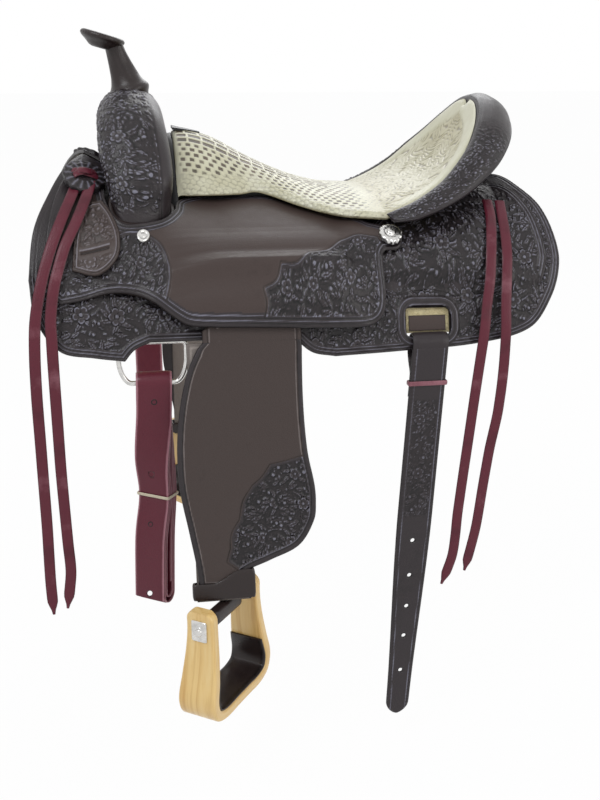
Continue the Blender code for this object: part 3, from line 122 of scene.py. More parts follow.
def side_frames(x, v):
    """Points (y, z) and outward normals of the side surface, on the +Y side."""
    x, v = np.broadcast_arrays(np.asarray(x, float), np.asarray(v, float))
    shape = x.shape
    x, v = x.ravel(), v.ravel()
    out = np.zeros((4, len(x)))
    out[0] = KNEE[0] + v * COS
    out[1] = KNEE[1] - v * SIN
    out[2] = SIN
    out[3] = COS
    t = 1.0 - np.arange(61) / 60.0
    for start in range(0, len(x), 20000):
        part = slice(start, start + 20000)
        up = np.where(v[part] < 0)[0] + start
        if not len(up):
            continue
        top = ridge(x[up])
        reach = 0.85 * (top - KNEE[1]) / SIN
        mid_y = KNEE[0] - reach * COS
        mid_z = KNEE[1] + reach * SIN
        ys = mid_y[:, None] * 2 * t * (1 - t) + KNEE[0] * t * t
        zs = top[:, None] * (1 - t) ** 2 + mid_z[:, None] * 2 * t * (1 - t) + KNEE[1] * t * t
        steps = np.hypot(np.diff(ys), np.diff(zs))
        lengths = np.concatenate([np.zeros((len(up), 1)), np.cumsum(steps, 1)], 1)
        want = np.minimum(-v[up], lengths[:, -1])
        k = np.clip((lengths < want[:, None]).sum(1), 1, 60)
        row = np.arange(len(up))
        share = (want - lengths[row, k - 1]) / (lengths[row, k] - lengths[row, k - 1])
        s = 1.0 - (k - 1 + share) / 60.0
        out[0][up] = mid_y * 2 * s * (1 - s) + KNEE[0] * s * s
        out[1][up] = top * (1 - s) ** 2 + mid_z * 2 * s * (1 - s) + KNEE[1] * s * s
        ay = mid_y * (1 - s) + (KNEE[0] - mid_y) * s
        az = (mid_z - top) * (1 - s) + (KNEE[1] - mid_z) * s
        size = np.hypot(ay, az)
        out[2][up] = -az / size
        out[3][up] = ay / size
    return [row.reshape(shape) for row in out]


def arc_reach(x):
    """Length of the side surface from the knee to the ridge."""
    t = 1.0 - np.arange(61) / 60.0
    top = ridge(np.float64(x))
    reach = 0.85 * (top - KNEE[1]) / SIN
    ys = (KNEE[0] - reach * COS) * 2 * t * (1 - t) + KNEE[0] * t * t
    zs = top * (1 - t) ** 2 + (KNEE[1] + reach * SIN) * 2 * t * (1 - t) + KNEE[1] * t * t
    return float(np.hypot(np.diff(ys), np.diff(zs)).sum())


def on_side(x, v, h, side=1):
    y, z, ny, nz = side_frames(x, v)
    return np.stack([np.broadcast_to(np.asarray(x, float), y.shape), side * (y + ny * h), z + nz * h], -1)


def on_plane(x, s, h, side=1):
    x, s, h = np.broadcast_arrays(np.asarray(x, float), np.asarray(s, float), np.asarray(h, float))
    return np.stack([x, side * (KNEE[0] + s * COS + h * SIN), KNEE[1] - s * SIN + h * COS], -1)


def bulge(x, v, grow, flat_above):
    across = (v - BAR_MIDDLE) / (BAR_HALF + grow)
    if flat_above:
        across = np.where(v < BAR_MIDDLE, 0.0, across)
    along = np.abs(x) / (BAR_REACH + grow)
    return np.maximum(0.0, 1 - across ** 4) * np.maximum(0.0, 1 - along ** 6)


def bar_high(x, v):
    return BAR_LOW + 1.5 + BAR_ROUND * bulge(x, v, 0.0, False)


def rear_low(x, v):
    return BAR_LOW + HUMP * bulge(x, v, HUMP_GROW, False)


def rear_high(x, v):
    return rear_low(x, v) + REAR_THICK


def strap_shoulder(x, v):
    along = ss(-220, -175, x) * (1 - ss(35, 80, x))
    down = 1 - ss(50, 100, -v)
    y, z, ny, nz = side_frames(x, np.maximum(v, -55.0))
    offset = SIN * (y - KNEE[0]) + COS * (z - KNEE[1])
    need = (FENDER_HIGH + 1.0 - offset) / (SIN * ny + COS * nz)
    return (need - BAR_LOW) * along * down


def jockey_low(x, v):
    x, v = np.asarray(x, float), np.asarray(v, float)
    lift = 8.0 * ss(120, 180, -v) * (1 - ss(-40, 20, x)) * ss(-260, -150, x)
    over = np.maximum(HUMP * bulge(x, v, HUMP_GROW, True) + lift, strap_shoulder(x, v))
    return BAR_LOW + over + 5.5 * ss(40, 70, x) * (1 - ss(108, 128, -v))


def jockey_high(x, v):
    return jockey_low(x, v) + JOCKEY_THICK


def smooth_run(points, step):
    """Points about one step apart on a smooth curve through the given ones."""
    points = np.array([tuple(p) for p in points], float)
    knots = run_lengths(points)
    last = len(points) - 1
    slopes = []
    for i in range(last + 1):
        a, b = max(i - 1, 0), min(i + 1, last)
        slopes.append((points[b] - points[a]) / (knots[b] - knots[a]))
    run = []
    for i in range(last):
        span = knots[i + 1] - knots[i]
        for t in np.arange(max(1, round(span / step))) / max(1, round(span / step)):
            run.append(points[i] * (1 + 2 * t) * (1 - t) ** 2 + slopes[i] * span * t * (1 - t) ** 2
                       + points[i + 1] * t * t * (3 - 2 * t) + slopes[i + 1] * span * t * t * (t - 1))
    run.append(points[-1])
    return np.array(run)


def outline(points, step=3.0):
    """Closed outline from (x, v) points; a third value marks a corner, and the first is one."""
    closed = list(points) + [points[0]]
    corners = [i for i, p in enumerate(closed) if len(p) > 2 or i == len(points)]
    rows = [smooth_run([p[:2] for p in closed[a:b + 1]], step)[:-1] for a, b in zip(corners, corners[1:])]
    return np.concatenate(rows)


def round_slot(x0, x1, v0, v1, radius, arc=8):
    result = []
    for cx, cv, start in ((x1 - radius, v1 - radius, 0), (x0 + radius, v1 - radius, 1),
                          (x0 + radius, v0 + radius, 2), (x1 - radius, v0 + radius, 3)):
        for k in range(arc + 1):
            angle = math.pi / 2 * (start + k / arc)
            result.append((cx + radius * math.cos(angle), cv + radius * math.sin(angle)))
    return np.array(result)


def inside(points, loops):
    """Even-odd test of many points against closed loops."""
    hit = np.zeros(len(points), bool)
    for loop in loops:
        a, b = loop, np.roll(loop, -1, 0)
        for start in range(0, len(points), 8000):
            p = points[start:start + 8000]
            cross = (a[None, :, 1] > p[:, None, 1]) != (b[None, :, 1] > p[:, None, 1])
            slope = (b[:, 0] - a[:, 0]) / np.where(b[:, 1] == a[:, 1], 1e-9, b[:, 1] - a[:, 1])
            reach = a[None, :, 0] + (p[:, None, 1] - a[None, :, 1]) * slope[None]
            hit[start:start + 8000] ^= (cross & (p[:, None, 0] < reach)).sum(1) % 2 == 1
    return hit


def loop_distance(points, loops):
    """Distance of many points to the nearest edge of closed loops."""
    best = np.full(len(points), 1e9)
    for loop in loops:
        a = loop
        along = np.roll(loop, -1, 0) - a
        size = np.maximum((along ** 2).sum(1), 1e-9)
        for start in range(0, len(points), 6000):
            p = points[start:start + 6000, None, :] - a[None]
            t = np.clip((p * along).sum(-1) / size, 0, 1)
            d = p - along[None] * t[..., None]
            best[start:start + 6000] = np.minimum(best[start:start + 6000], np.sqrt((d ** 2).sum(-1).min(1)))
    return best


def fill(loops, step, keep=None):
    """Fine flat mesh inside loops: points, faces, distance to the border. The loops' points come first."""
    border = np.concatenate(loops)
    low, high = loops[0].min(0), loops[0].max(0)
    xs = np.arange(low[0], high[0] + step, step)
    vs = np.arange(low[1], high[1] + step, step)
    gx, gv = np.meshgrid(xs, vs, indexing="ij")
    spots = np.stack([gx.ravel(), gv.ravel()], 1)
    good = inside(spots, loops)
    reach = np.zeros(len(spots))
    reach[good] = loop_distance(spots[good], loops)
    good &= reach > 0.75 * step
    if keep is not None:
        good &= keep(spots[:, 0], spots[:, 1])
    flat = good.reshape(gx.shape)
    cell = flat[:-1, :-1] & flat[1:, :-1] & flat[1:, 1:] & flat[:-1, 1:]
    number = np.full(len(spots), -1)
    number[good] = len(border) + np.arange(good.sum())
    grid = number.reshape(gx.shape)
    quads = np.stack([grid[:-1, :-1][cell], grid[1:, :-1][cell], grid[1:, 1:][cell], grid[:-1, 1:][cell]], 1)
    points = np.concatenate([border, spots[good]])
    rim = np.where(good & (reach < 2.7 * step))[0]
    chosen = np.concatenate([np.arange(len(border)), number[rim]])
    edges = []
    first = 0
    for loop in loops:
        edges += [(first + k, first + (k + 1) % len(loop)) for k in range(len(loop))]
        first += len(loop)
    found = delaunay_2d_cdt([Vector(p) for p in points[chosen]], edges, [], 0, 1e-6)
    source = [chosen[o[0]] if o else -1 for o in found[3]]
    tris = np.array([[source[k] for k in face] for face in found[2] if len(face) == 3])
    tris = tris[(tris >= 0).all(1)]
    middle = points[tris].mean(1)
    ok = inside(middle, loops)
    ci = np.clip(((middle[:, 0] - low[0]) / step).astype(int), 0, cell.shape[0] - 1)
    cv = np.clip(((middle[:, 1] - low[1]) / step).astype(int), 0, cell.shape[1] - 1)
    ok &= ~cell[ci, cv]
    spans = np.linalg.norm(points[tris] - np.roll(points[tris], 1, 1), axis=-1).max(1)
    longest = np.linalg.norm(np.diff(border, axis=0), axis=1)
    ok &= spans < max(4.5 * step, np.percentile(longest, 90) * 1.6) if keep is not None else True
    distance = np.concatenate([np.zeros(len(border)), reach[good]])
    return points, [tuple(q) for q in quads.tolist()] + [tuple(t) for t in tris[ok].tolist()], distance


def mesh_object(name, points, faces, material, attributes=None, sharp=None):
    """A smooth mesh from points in millimetres."""
    mesh = bpy.data.meshes.new(name)
    mesh.from_pydata((np.asarray(points, float) * MM).tolist(), [], faces)
    mesh.shade_smooth()
    if sharp:
        mesh.set_sharp_from_angle(angle=math.radians(sharp))
    for key, values in (attributes or {}).items():
        values = np.asarray(values, np.float32)
        if values.ndim == 2:
            mesh.attributes.new(key, "FLOAT_VECTOR", "POINT").data.foreach_set("vector", values.ravel())
        else:
            mesh.attributes.new(key, "FLOAT", "POINT").data.foreach_set("value", values)
    mesh.materials.append(material)
    item = bpy.data.objects.new(name, mesh)
    bpy.context.collection.objects.link(item)
    return item


def even_rim(tone):
    """Attributes of a leather whose edges aren't darkened."""
    return {"carve": np.ravel(tone), "rim": np.full(np.size(tone), EVEN_RIM)}

def finish_piece(item, body, slot, *nodes):
    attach(item, body)
    if nodes:
        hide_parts(*nodes)
    return item


def add(tree, kind, links=(), **values):
    """A node with its settings and sockets; links are (input, node, output)."""
    node = tree.nodes.new(kind)
    for key, value in values.items():
        if hasattr(node, key):
            setattr(node, key, value)
        else:
            node.inputs[key.replace("_", " ")].default_value = value
    for name, source, output in links:
        tree.links.new(source.outputs[output], node.inputs[name])
    return node


def ramp(tree, source, output, stops):
    node = tree.nodes.new("ShaderNodeValToRGB")
    tree.links.new(source.outputs[output], node.inputs["Fac"])
    while len(node.color_ramp.elements) < len(stops):
        node.color_ramp.elements.new(0.5)
    for element, (place, colour) in zip(node.color_ramp.elements, stops):
        element.position = place
        element.color = (*colour, 1.0) if len(colour) == 3 else colour
    return node


def mix(tree, factor, a, b, blend="MIX"):
    """Colour mix; each of the three is (node, output) or a plain value."""
    node = tree.nodes.new("ShaderNodeMix")
    node.data_type = "RGBA"
    node.blend_type = blend
    for index, value in ((0, factor), (6, a), (7, b)):
        if isinstance(value, tuple) and hasattr(value[0], "outputs"):
            tree.links.new(value[0].outputs[value[1]], node.inputs[index])
        elif index == 0:
            node.inputs[0].default_value = value
        else:
            node.inputs[index].default_value = (*value, 1.0)
    return node


def start_material(name, roughness, metallic=0.0, **shader):
    material = bpy.data.materials.new(name)
    material.use_nodes = True
    tree = material.node_tree
    bsdf = tree.nodes["Principled BSDF"]
    bsdf.inputs["Roughness"].default_value = roughness
    bsdf.inputs["Metallic"].default_value = metallic
    for key, value in shader.items():
        bsdf.inputs[key.replace("_", " ")].default_value = value
    return material, tree, bsdf


def noise(tree, scale, detail, **more):
    """Noise over the object's own coordinates."""
    where = add(tree, "ShaderNodeTexCoord")
    return add(tree, "ShaderNodeTexNoise", [("Vector", where, "Object")], Scale=scale, Detail=detail, **more)

def scaled(tree, source, factor, shift):
    node = add(tree, "ShaderNodeMath", [(0, source, 0)], operation="MULTIPLY_ADD")
    node.inputs[1].default_value = factor
    node.inputs[2].default_value = shift
    return node

def surface(tree, bsdf, colour, height, strength, distance):
    """Base colour, as (node, output), and bump from a height."""
    tree.links.new(colour[0].outputs[colour[1]], bsdf.inputs["Base Color"])
    bump = add(tree, "ShaderNodeBump", [("Height", height, 0)], Strength=strength, Distance=distance)
    tree.links.new(bump.outputs[0], bsdf.inputs["Normal"])

def leather(name, low, mid, high, roughness, grain, gloss_level=0.3):
    """Leather: pores, broad colour drift, and, from the tone attribute, darker grooves and painted highlights
    on raised tops.
    """
    material, tree, bsdf = start_material(name, roughness, Specular_IOR_Level=gloss_level)
    where = add(tree, "ShaderNodeTexCoord")
    carve = add(tree, "ShaderNodeAttribute", attribute_name="carve")
    rim = add(tree, "ShaderNodeAttribute", attribute_name="rim")
    drift = noise(tree, 9.0, 5.0)
    patch = noise(tree, 70.0, 6.0, Roughness=0.65)
    fine = noise(tree, 1500.0, 3.0)
    pores = add(tree, "ShaderNodeTexVoronoi", [("Vector", where, "Object")], Scale=620.0)
    both = add(tree, "ShaderNodeMath", [(0, drift, 0), (1, patch, 0)], operation="ADD")
    uneven = scaled(tree, both, 0.42, -0.42)
    # The tone attribute holds the carving's darker hollows and its painted highlights on raised rims and beads.
    worked = add(tree, "ShaderNodeMath", [(0, uneven, 0), (1, carve, "Fac")], operation="ADD")
    tone = ramp(tree, worked, 0, [(0.0, low), (0.42, mid), (0.62, mid), (1.0, high)])
    pale = ramp(tree, pores, "Distance", [(0.0, (0.72, 0.72, 0.72)), (0.5, (1.0, 1.0, 1.0))])
    shade = mix(tree, 0.5, (tone, 0), (pale, 0), "MULTIPLY")
    worn = ramp(tree, rim, "Fac", [(0.0, (0.35, 0.35, 0.35)), (0.12, (1.0, 1.0, 1.0))])
    colour = mix(tree, 0.85, (shade, 2), (worn, 0), "MULTIPLY")
    gloss = scaled(tree, patch, 0.3, roughness - 0.15)
    tree.links.new(gloss.outputs[0], bsdf.inputs["Roughness"])
    depth = add(tree, "ShaderNodeMath", [(0, pores, "Distance"), (1, fine, 0)], operation="ADD")
    surface(tree, bsdf, (colour, 2), depth, grain, 0.0006)
    return material

def print_leather(name):
    """Cream leather with darker marks between its scales."""
    material, tree, bsdf = start_material(name, 0.4, Coat_Weight=0.25, Coat_Roughness=0.3)
    mark = add(tree, "ShaderNodeAttribute", attribute_name="mark")
    tint = add(tree, "ShaderNodeAttribute", attribute_name="tint")
    drift = noise(tree, 28.0, 5.0)
    cream = ramp(tree, drift, 0, [(0.3, (0.60, 0.57, 0.39)), (0.52, (0.68, 0.66, 0.48)),
                                  (0.75, (0.73, 0.71, 0.56))])
    olive = ramp(tree, drift, 0, [(0.35, (0.42, 0.37, 0.20)), (0.7, (0.56, 0.51, 0.31))])
    base = mix(tree, (tint, "Fac"), (cream, 0), (olive, 0))
    dark = ramp(tree, drift, 0, [(0.35, (0.035, 0.024, 0.014)), (0.65, (0.12, 0.07, 0.045))])
    sharp = ramp(tree, mark, "Fac", [(0.0, (0, 0, 0)), (0.3, (0.22, 0.22, 0.22)), (0.7, (0.92, 0.92, 0.92))])
    colour = mix(tree, (sharp, 0), (base, 2), (dark, 0))
    surface(tree, bsdf, (colour, 2), noise(tree, 700.0, 4.0), 0.25, 0.0004)
    return material

def wool(name, dark, light):
    """Fleece: fine curls in broader clumps."""
    material, tree, bsdf = start_material(name, 0.95, Sheen_Weight=0.6, Sheen_Roughness=0.6)
    curl = noise(tree, 170.0, 8.0, Roughness=0.75, Distortion=1.6)
    tone = ramp(tree, curl, 0, [(0.3, dark), (0.6, light), (0.85, tuple(min(1, c * 1.15) for c in light))])
    shade = ramp(tree, noise(tree, 24.0, 4.0), 0, [(0.25, (0.7, 0.66, 0.55)), (0.7, (1.0, 1.0, 1.0))])
    colour = mix(tree, 0.8, (tone, 0), (shade, 0), "MULTIPLY")
    surface(tree, bsdf, (colour, 2), curl, 0.9, 0.003)
    return material

def wood(name):
    """Bent wood with its grain along the strip."""
    material, tree, bsdf = start_material(name, 0.36, Coat_Weight=0.35, Coat_Roughness=0.2)
    flow = add(tree, "ShaderNodeAttribute", attribute_name="flow")
    layers = []
    for stretch, more in (((6.0, 120.0, 120.0), {"Detail": 7.0, "Roughness": 0.7, "Distortion": 0.6}),
                          ((3.0, 30.0, 30.0), {"Detail": 4.0, "Distortion": 1.2})):
        spread = add(tree, "ShaderNodeMapping", [("Vector", flow, "Vector")], Scale=stretch)
        layers.append(add(tree, "ShaderNodeTexNoise", [("Vector", spread, 0)], Scale=1.0, **more))
    grain, figure = layers
    tone = ramp(tree, grain, 0, [(0.3, (0.70, 0.42, 0.13)), (0.5, (0.88, 0.62, 0.25)),
                                 (0.72, (0.92, 0.70, 0.34))])
    warm = ramp(tree, figure, 0, [(0.3, (0.88, 0.78, 0.62)), (0.7, (1.0, 1.0, 1.0))])
    colour = mix(tree, 0.7, (tone, 0), (warm, 0), "MULTIPLY")
    surface(tree, bsdf, (colour, 2), grain, 0.15, 0.0004)
    return material

METAL_WEAR = 0.12

def metal(name, colour, roughness):
    """Metal with faint blots in its colour and gloss."""
    material, tree, bsdf = start_material(name, roughness, 1.0)
    blot = noise(tree, 160.0, 6.0)
    tone = ramp(tree, blot, 0, [(0.3, tuple(c * 0.72 for c in colour)), (0.65, colour)])
    gloss = scaled(tree, blot, METAL_WEAR * 2, roughness - METAL_WEAR)
    tree.links.new(gloss.outputs[0], bsdf.inputs["Roughness"])
    surface(tree, bsdf, (tone, 0), blot, 0.08, 0.0003)
    return material

# The high colours of the tooled and brown leathers are the colours of their painted highlights, bluish on the
# tooled leather.
TOOLED = leather("tooled", (0.0025, 0.002, 0.0025), (0.030, 0.023, 0.025), (0.205, 0.20, 0.245), 0.34, 0.25,
                 gloss_level=0.36)
BROWN = leather("brown", (0.006, 0.004, 0.0035), (0.060, 0.042, 0.037), (0.22, 0.20, 0.22), 0.42, 0.22)
FENDER = leather("fender_brown", (0.005, 0.004, 0.0035), (0.066, 0.050, 0.045), (0.20, 0.17, 0.16), 0.46, 0.22,
                 gloss_level=0.2)
SMOOTH = leather("smooth_dark", (0.003, 0.002, 0.002), (0.020, 0.012, 0.011), (0.06, 0.045, 0.045), 0.32, 0.2,
                 gloss_level=0.4)
WINE = leather("wine", (0.030, 0.003, 0.006), (0.115, 0.016, 0.029), (0.38, 0.17, 0.20), 0.34, 0.2)
FLESH = leather("flesh_side", (0.08, 0.065, 0.06), (0.22, 0.19, 0.17), (0.32, 0.28, 0.25), 0.8, 0.5)
LACE = leather("lace", (0.30, 0.24, 0.15), (0.62, 0.54, 0.40), (0.75, 0.68, 0.52), 0.6, 0.4)
BLACK = leather("black_strip", (0.002, 0.002, 0.002), (0.008, 0.008, 0.009), (0.03, 0.028, 0.03), 0.3, 0.2)
PRINT = print_leather("scale_print")
WOOL = wool("fleece", (0.42, 0.32, 0.12), (0.80, 0.70, 0.40))
MAPLE = wood("maple")
NICKEL = metal("nickel", (0.74, 0.73, 0.71), 0.24)
STEEL = metal("steel", (0.52, 0.51, 0.50), 0.38)


def set_camera():
    """The photograph's camera."""
    data = bpy.data.cameras.new("camera")
    camera = bpy.data.objects.new("camera", data)
    bpy.context.collection.objects.link(camera)
    data.sensor_fit = "VERTICAL"
    data.sensor_height = 36.0
    data.lens = CAMERA_LENS
    data.clip_end = 100.0
    camera.location = Vector(CAMERA_PLACE) * MM
    back = Vector((math.sin(CAMERA_AZIMUTH) * math.cos(CAMERA_HEIGHT),
                   -math.cos(CAMERA_AZIMUTH) * math.cos(CAMERA_HEIGHT), math.sin(CAMERA_HEIGHT)))
    camera.rotation_euler = (-back).to_track_quat("-Z", "Y").to_euler()
    bpy.context.scene.camera = camera


def set_light():
    """Soft lamps, a pale world and a pale floor."""
    for name, place, size, power, colour in (("key", (-1.5, -1.7, 2.3), 1.3, 33.0, (0.95, 0.97, 1.0)),
                                             ("fill", (1.9, -1.6, 0.9), 1.8, 15.0, (1.0, 0.98, 0.95)),
                                             ("back", (0.6, 2.2, 1.6), 1.8, 16.0, (0.97, 0.98, 1.0))):
        data = bpy.data.lights.new(name, "AREA")
        data.shape = "DISK"
        data.size = size
        data.energy = power
        data.color = colour
        lamp = bpy.data.objects.new(name, data)
        lamp.location = place
        lamp.rotation_euler = (Vector((0, 0, -0.05)) - Vector(place)).to_track_quat("-Z", "Y").to_euler()
        bpy.context.collection.objects.link(lamp)
    world = bpy.data.worlds.new("world")
    bpy.context.scene.world = world
    world.use_nodes = True
    tree = world.node_tree
    tree.nodes.clear()
    seen = seen_rays(tree)
    light = add(tree, "ShaderNodeBackground", Color=(0.93, 0.95, 1.0, 1.0), Strength=0.56)
    white = add(tree, "ShaderNodeBackground", Color=(1.0, 1.0, 1.0, 1.0), Strength=1.0)
    both = add(tree, "ShaderNodeMixShader", [(0, seen, 0), (1, light, 0), (2, white, 0)])
    add(tree, "ShaderNodeOutputWorld", [("Surface", both, 0)])
    material = bpy.data.materials.new("floor")
    material.use_nodes = True
    tree = material.node_tree
    bsdf = tree.nodes["Principled BSDF"]
    bsdf.inputs["Base Color"].default_value = (0.86, 0.86, 0.86, 1.0)
    bsdf.inputs["Roughness"].default_value = 0.9
    bsdf.inputs["Specular IOR Level"].default_value = 0.0
    glow = add(tree, "ShaderNodeEmission", Color=(1.0, 1.0, 1.0, 1.0), Strength=1.0)
    seen = seen_rays(tree)
    share = add(tree, "ShaderNodeMath", [(0, seen, 0)], operation="MULTIPLY")
    share.inputs[1].default_value = 0.97
    both = add(tree, "ShaderNodeMixShader", [(0, share, 0), (1, bsdf, 0), (2, glow, 0)])
    tree.links.new(both.outputs[0], tree.nodes["Material Output"].inputs["Surface"])
    mesh = bpy.data.meshes.new("floor")
    corners = [(x * FLOOR_REACH, y * FLOOR_REACH, FLOOR_HEIGHT)
               for x, y in ((-1, -1), (1, -1), (1, 1), (-1, 1))]
    mesh.from_pydata(corners, [], [(0, 1, 2, 3)])
    mesh.materials.append(material)
    floor = bpy.data.objects.new("floor", mesh)
    bpy.context.collection.objects.link(floor)
    floor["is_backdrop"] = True
    bpy.context.scene.view_settings.view_transform = "Standard"


def seen_rays(tree):
    """1 on camera, glossy and transmission rays."""
    path = add(tree, "ShaderNodeLightPath")
    a = add(tree, "ShaderNodeMath", [(0, path, "Is Camera Ray"), (1, path, "Is Glossy Ray")],
            operation="MAXIMUM")
    return add(tree, "ShaderNodeMath", [(0, a, 0), (1, path, "Is Transmission Ray")], operation="MAXIMUM")


PX = 0.5


class Carving:
    """A height drawing of leaves, flowers and stems, like the tooling of a saddle, 0 deep to 1 high."""

    def __init__(self, width, height, seed, leaf=15.0, ground=0.1):
        self.rng = random.Random(seed)
        noise = np.random.default_rng(seed)
        self.art = (ground * noise.random((int(height / PX), int(width / PX)))).astype(np.float32)
        self.width, self.height = width, height
        self.phase = [self.rng.uniform(0, 6.28) for _ in range(4)]
        self.draw(leaf)

    def turn(self, x, y):
        p = self.phase
        return (2.4 * math.sin(x / 46 + p[0]) + 2.0 * math.cos(y / 37 + p[1])
                + 1.1 * math.sin((x + y) / 27 + p[2]))

    def patch(self, cx, cy, reach):
        rows, cols = self.art.shape
        x0, x1 = max(0, int((cx - reach) / PX)), min(cols, int((cx + reach) / PX) + 1)
        y0, y1 = max(0, int((cy - reach) / PX)), min(rows, int((cy + reach) / PX) + 1)
        if x1 <= x0 or y1 <= y0:
            return None
        gx, gy = np.meshgrid(np.arange(x0, x1) * PX - cx, np.arange(y0, y1) * PX - cy)
        return self.art[y0:y1, x0:x1], gx, gy

    def lay(self, art, gap, height, ring=0.95):
        art[(gap > 0) & (gap < ring)] = 0.0
        body = gap <= 0
        art[body] = height[body]

    def leaf(self, cx, cy, angle, length, half, bend):
        found = self.patch(cx + 0.5 * length * math.cos(angle), cy + 0.5 * length * math.sin(angle),
                           0.5 * length + half + 3)
        if found is None:
            return
        art, gx, gy = found
        gx = gx + 0.5 * length * math.cos(angle)
        gy = gy + 0.5 * length * math.sin(angle)
        u = gx * math.cos(angle) + gy * math.sin(angle)
        t = np.clip(u / length, 0, 1)
        w = -gx * math.sin(angle) + gy * math.cos(angle) - bend * length * t * t
        wide = half * np.sin(math.pi * t ** 0.8) ** 0.75 * (1 - 0.22 * np.abs(np.sin(3 * math.pi * t)))
        gap = np.maximum(np.abs(w) - wide, np.maximum(-u, u - length))
        share = np.clip(np.abs(w) / np.maximum(wide, 0.2), 0, 1)
        height = 0.42 + 0.58 * (1 - share ** 2.2)
        height -= 0.55 * np.exp(-(w / 0.55) ** 2) * (t > 0.06) * (t < 0.86)
        height -= 0.22 * (np.sin(u * 2.1 + np.abs(w) * 1.2) > 0.55) * (share > 0.25)
        self.lay(art, gap, np.clip(height, 0.05, 1))

    def flower(self, cx, cy, radius, turn):
        found = self.patch(cx, cy, radius + 2)
        if found is None:
            return
        art, gx, gy = found
        r = np.hypot(gx, gy)
        lobe = np.abs(np.cos(2.5 * (np.arctan2(gy, gx) - turn)))
        edge = radius * (0.66 + 0.34 * lobe ** 0.7)
        height = 0.4 + 0.6 * np.clip(r / edge, 0, 1) ** 1.6 - 0.4 * (lobe < 0.3)
        height = np.where(r < 0.34 * radius, 0.0, height)
        core = np.sqrt(np.clip(1 - (r / (0.27 * radius)) ** 2, 0, 1))
        height = np.where(r < 0.27 * radius, 0.45 + 0.55 * core, height)
        self.lay(art, r - edge, np.clip(height, 0.0, 1), 1.3)

    def touch(self, x, y, radius, reach, ring, height):
        """A round mark whose height comes from the square of the share of its radius."""
        found = self.patch(x, y, reach)
        if found is not None:
            art, gx, gy = found
            r = np.hypot(gx, gy)
            self.lay(art, r - radius, height((r / radius) ** 2), ring)

    def stem(self, x, y, angle, count, curl):
        for k in range(count):
            self.touch(x, y, 1.5, 2.5, 0.8, lambda q: 0.9 - 0.5 * q)
            angle += curl * (1 + 1.6 * k / count)
            x += math.cos(angle)
            y += math.sin(angle)

    def scroll(self, x, y, angle, length, curl):
        """A raised vine that winds into a spiral, with a bead at its end."""
        count = int(length)
        for k in range(count):
            self.touch(x, y, 1.25 - 0.4 * k / count, 3.5, 0.9, lambda q: 1.0 - 0.35 * q)
            angle += curl * (0.35 + 1.9 * (k / count) ** 2)
            x += math.cos(angle)
            y += math.sin(angle)
        self.touch(x, y, 2.2, 4.5, 1.0, lambda q: np.sqrt(np.clip(1.2 - q, 0, 1)))

    def draw(self, leaf):
        rng = self.rng
        area = self.width * self.height
        for _ in range(int(area / 900)):
            x, y = rng.uniform(0, self.width), rng.uniform(0, self.height)
            self.stem(x, y, self.turn(x, y), rng.randint(26, 50),
                      rng.choice((-1, 1)) * rng.uniform(0.02, 0.09))
        spots = np.zeros((0, 2))
        for _ in range(int(area / 9)):
            p = np.array([rng.uniform(0, self.width), rng.uniform(0, self.height)])
            if len(spots) and np.hypot(*(spots - p).T).min() < leaf * 0.44:
                continue
            spots = np.vstack([spots, p])
        for x, y in spots:
            angle = self.turn(x, y) + rng.uniform(-0.5, 0.5)
            size = leaf * rng.uniform(0.7, 1.25)
            self.leaf(x, y, angle, size, size * rng.uniform(0.17, 0.26), rng.uniform(-0.5, 0.5))
        pitch = 3.4 * leaf
        for j in range(int(self.height / pitch) + 1):
            for i in range(int(self.width / pitch) + 1):
                x = (i + 0.5 * (j % 2)) * pitch + rng.uniform(-6, 6)
                y = (j + 0.4) * pitch + rng.uniform(-6, 6)
                for k in range(7):
                    angle = 2 * math.pi * k / 7 + rng.uniform(-0.2, 0.2)
                    px, py = x + 6 * math.cos(angle), y + 6 * math.sin(angle)
                    self.leaf(px, py, angle, leaf * rng.uniform(0.9, 1.25), leaf * 0.24,
                              rng.choice((-0.4, 0.4)))
                for k in range(3):
                    angle = 2.1 * k + rng.uniform(-0.4, 0.4)
                    px, py = x + 8 * math.cos(angle), y + 8 * math.sin(angle)
                    self.scroll(px, py, angle, leaf * rng.uniform(3.2, 4.6),
                                rng.choice((-1, 1)) * rng.uniform(0.09, 0.13))
                self.flower(x, y, leaf * rng.uniform(0.58, 0.7), rng.uniform(0, 6))
        self.shade()

    def shade(self):
        """Painted highlight on raised rims against darker hollows: the height over its own neighbourhood."""
        soft = self.art.copy()
        for axis in (0, 1):
            total = np.zeros_like(soft)
            for step in range(-4, 5):
                total += np.roll(soft, step, axis)
            soft = total / 9.0
        rim = self.art - soft
        # The glow is a painted highlight: raised rims are lighter than their hollows.
        self.glow = np.clip(0.44 + 0.32 * (self.art - 0.5) + 1.35 * rim, 0.0, 1.0).astype(np.float32)

    def tone(self, x, y):
        return self.at(x, y, self.glow)

    def at(self, x, y, art=None):
        """Smooth height at many places; the drawing repeats."""
        art = self.art if art is None else art
        rows, cols = self.art.shape
        fx = np.mod(np.asarray(x, float) / PX, cols - 1)
        fy = np.mod(np.asarray(y, float) / PX, rows - 1)
        i, j = fx.astype(int), fy.astype(int)
        a, b = fx - i, fy - j
        return ((art[j, i] * (1 - a) + art[j, i + 1] * a) * (1 - b)
                + (art[j + 1, i] * (1 - a) + art[j + 1, i + 1] * a) * b)


CARVED = Carving(520.0, 360.0, 7)
FINE_CARVED = Carving(300.0, 220.0, 21, leaf=11.0)
RELIEF = 2.0


def groove(distance, at, width=0.75):
    return np.exp(-((distance - at) / width) ** 2)


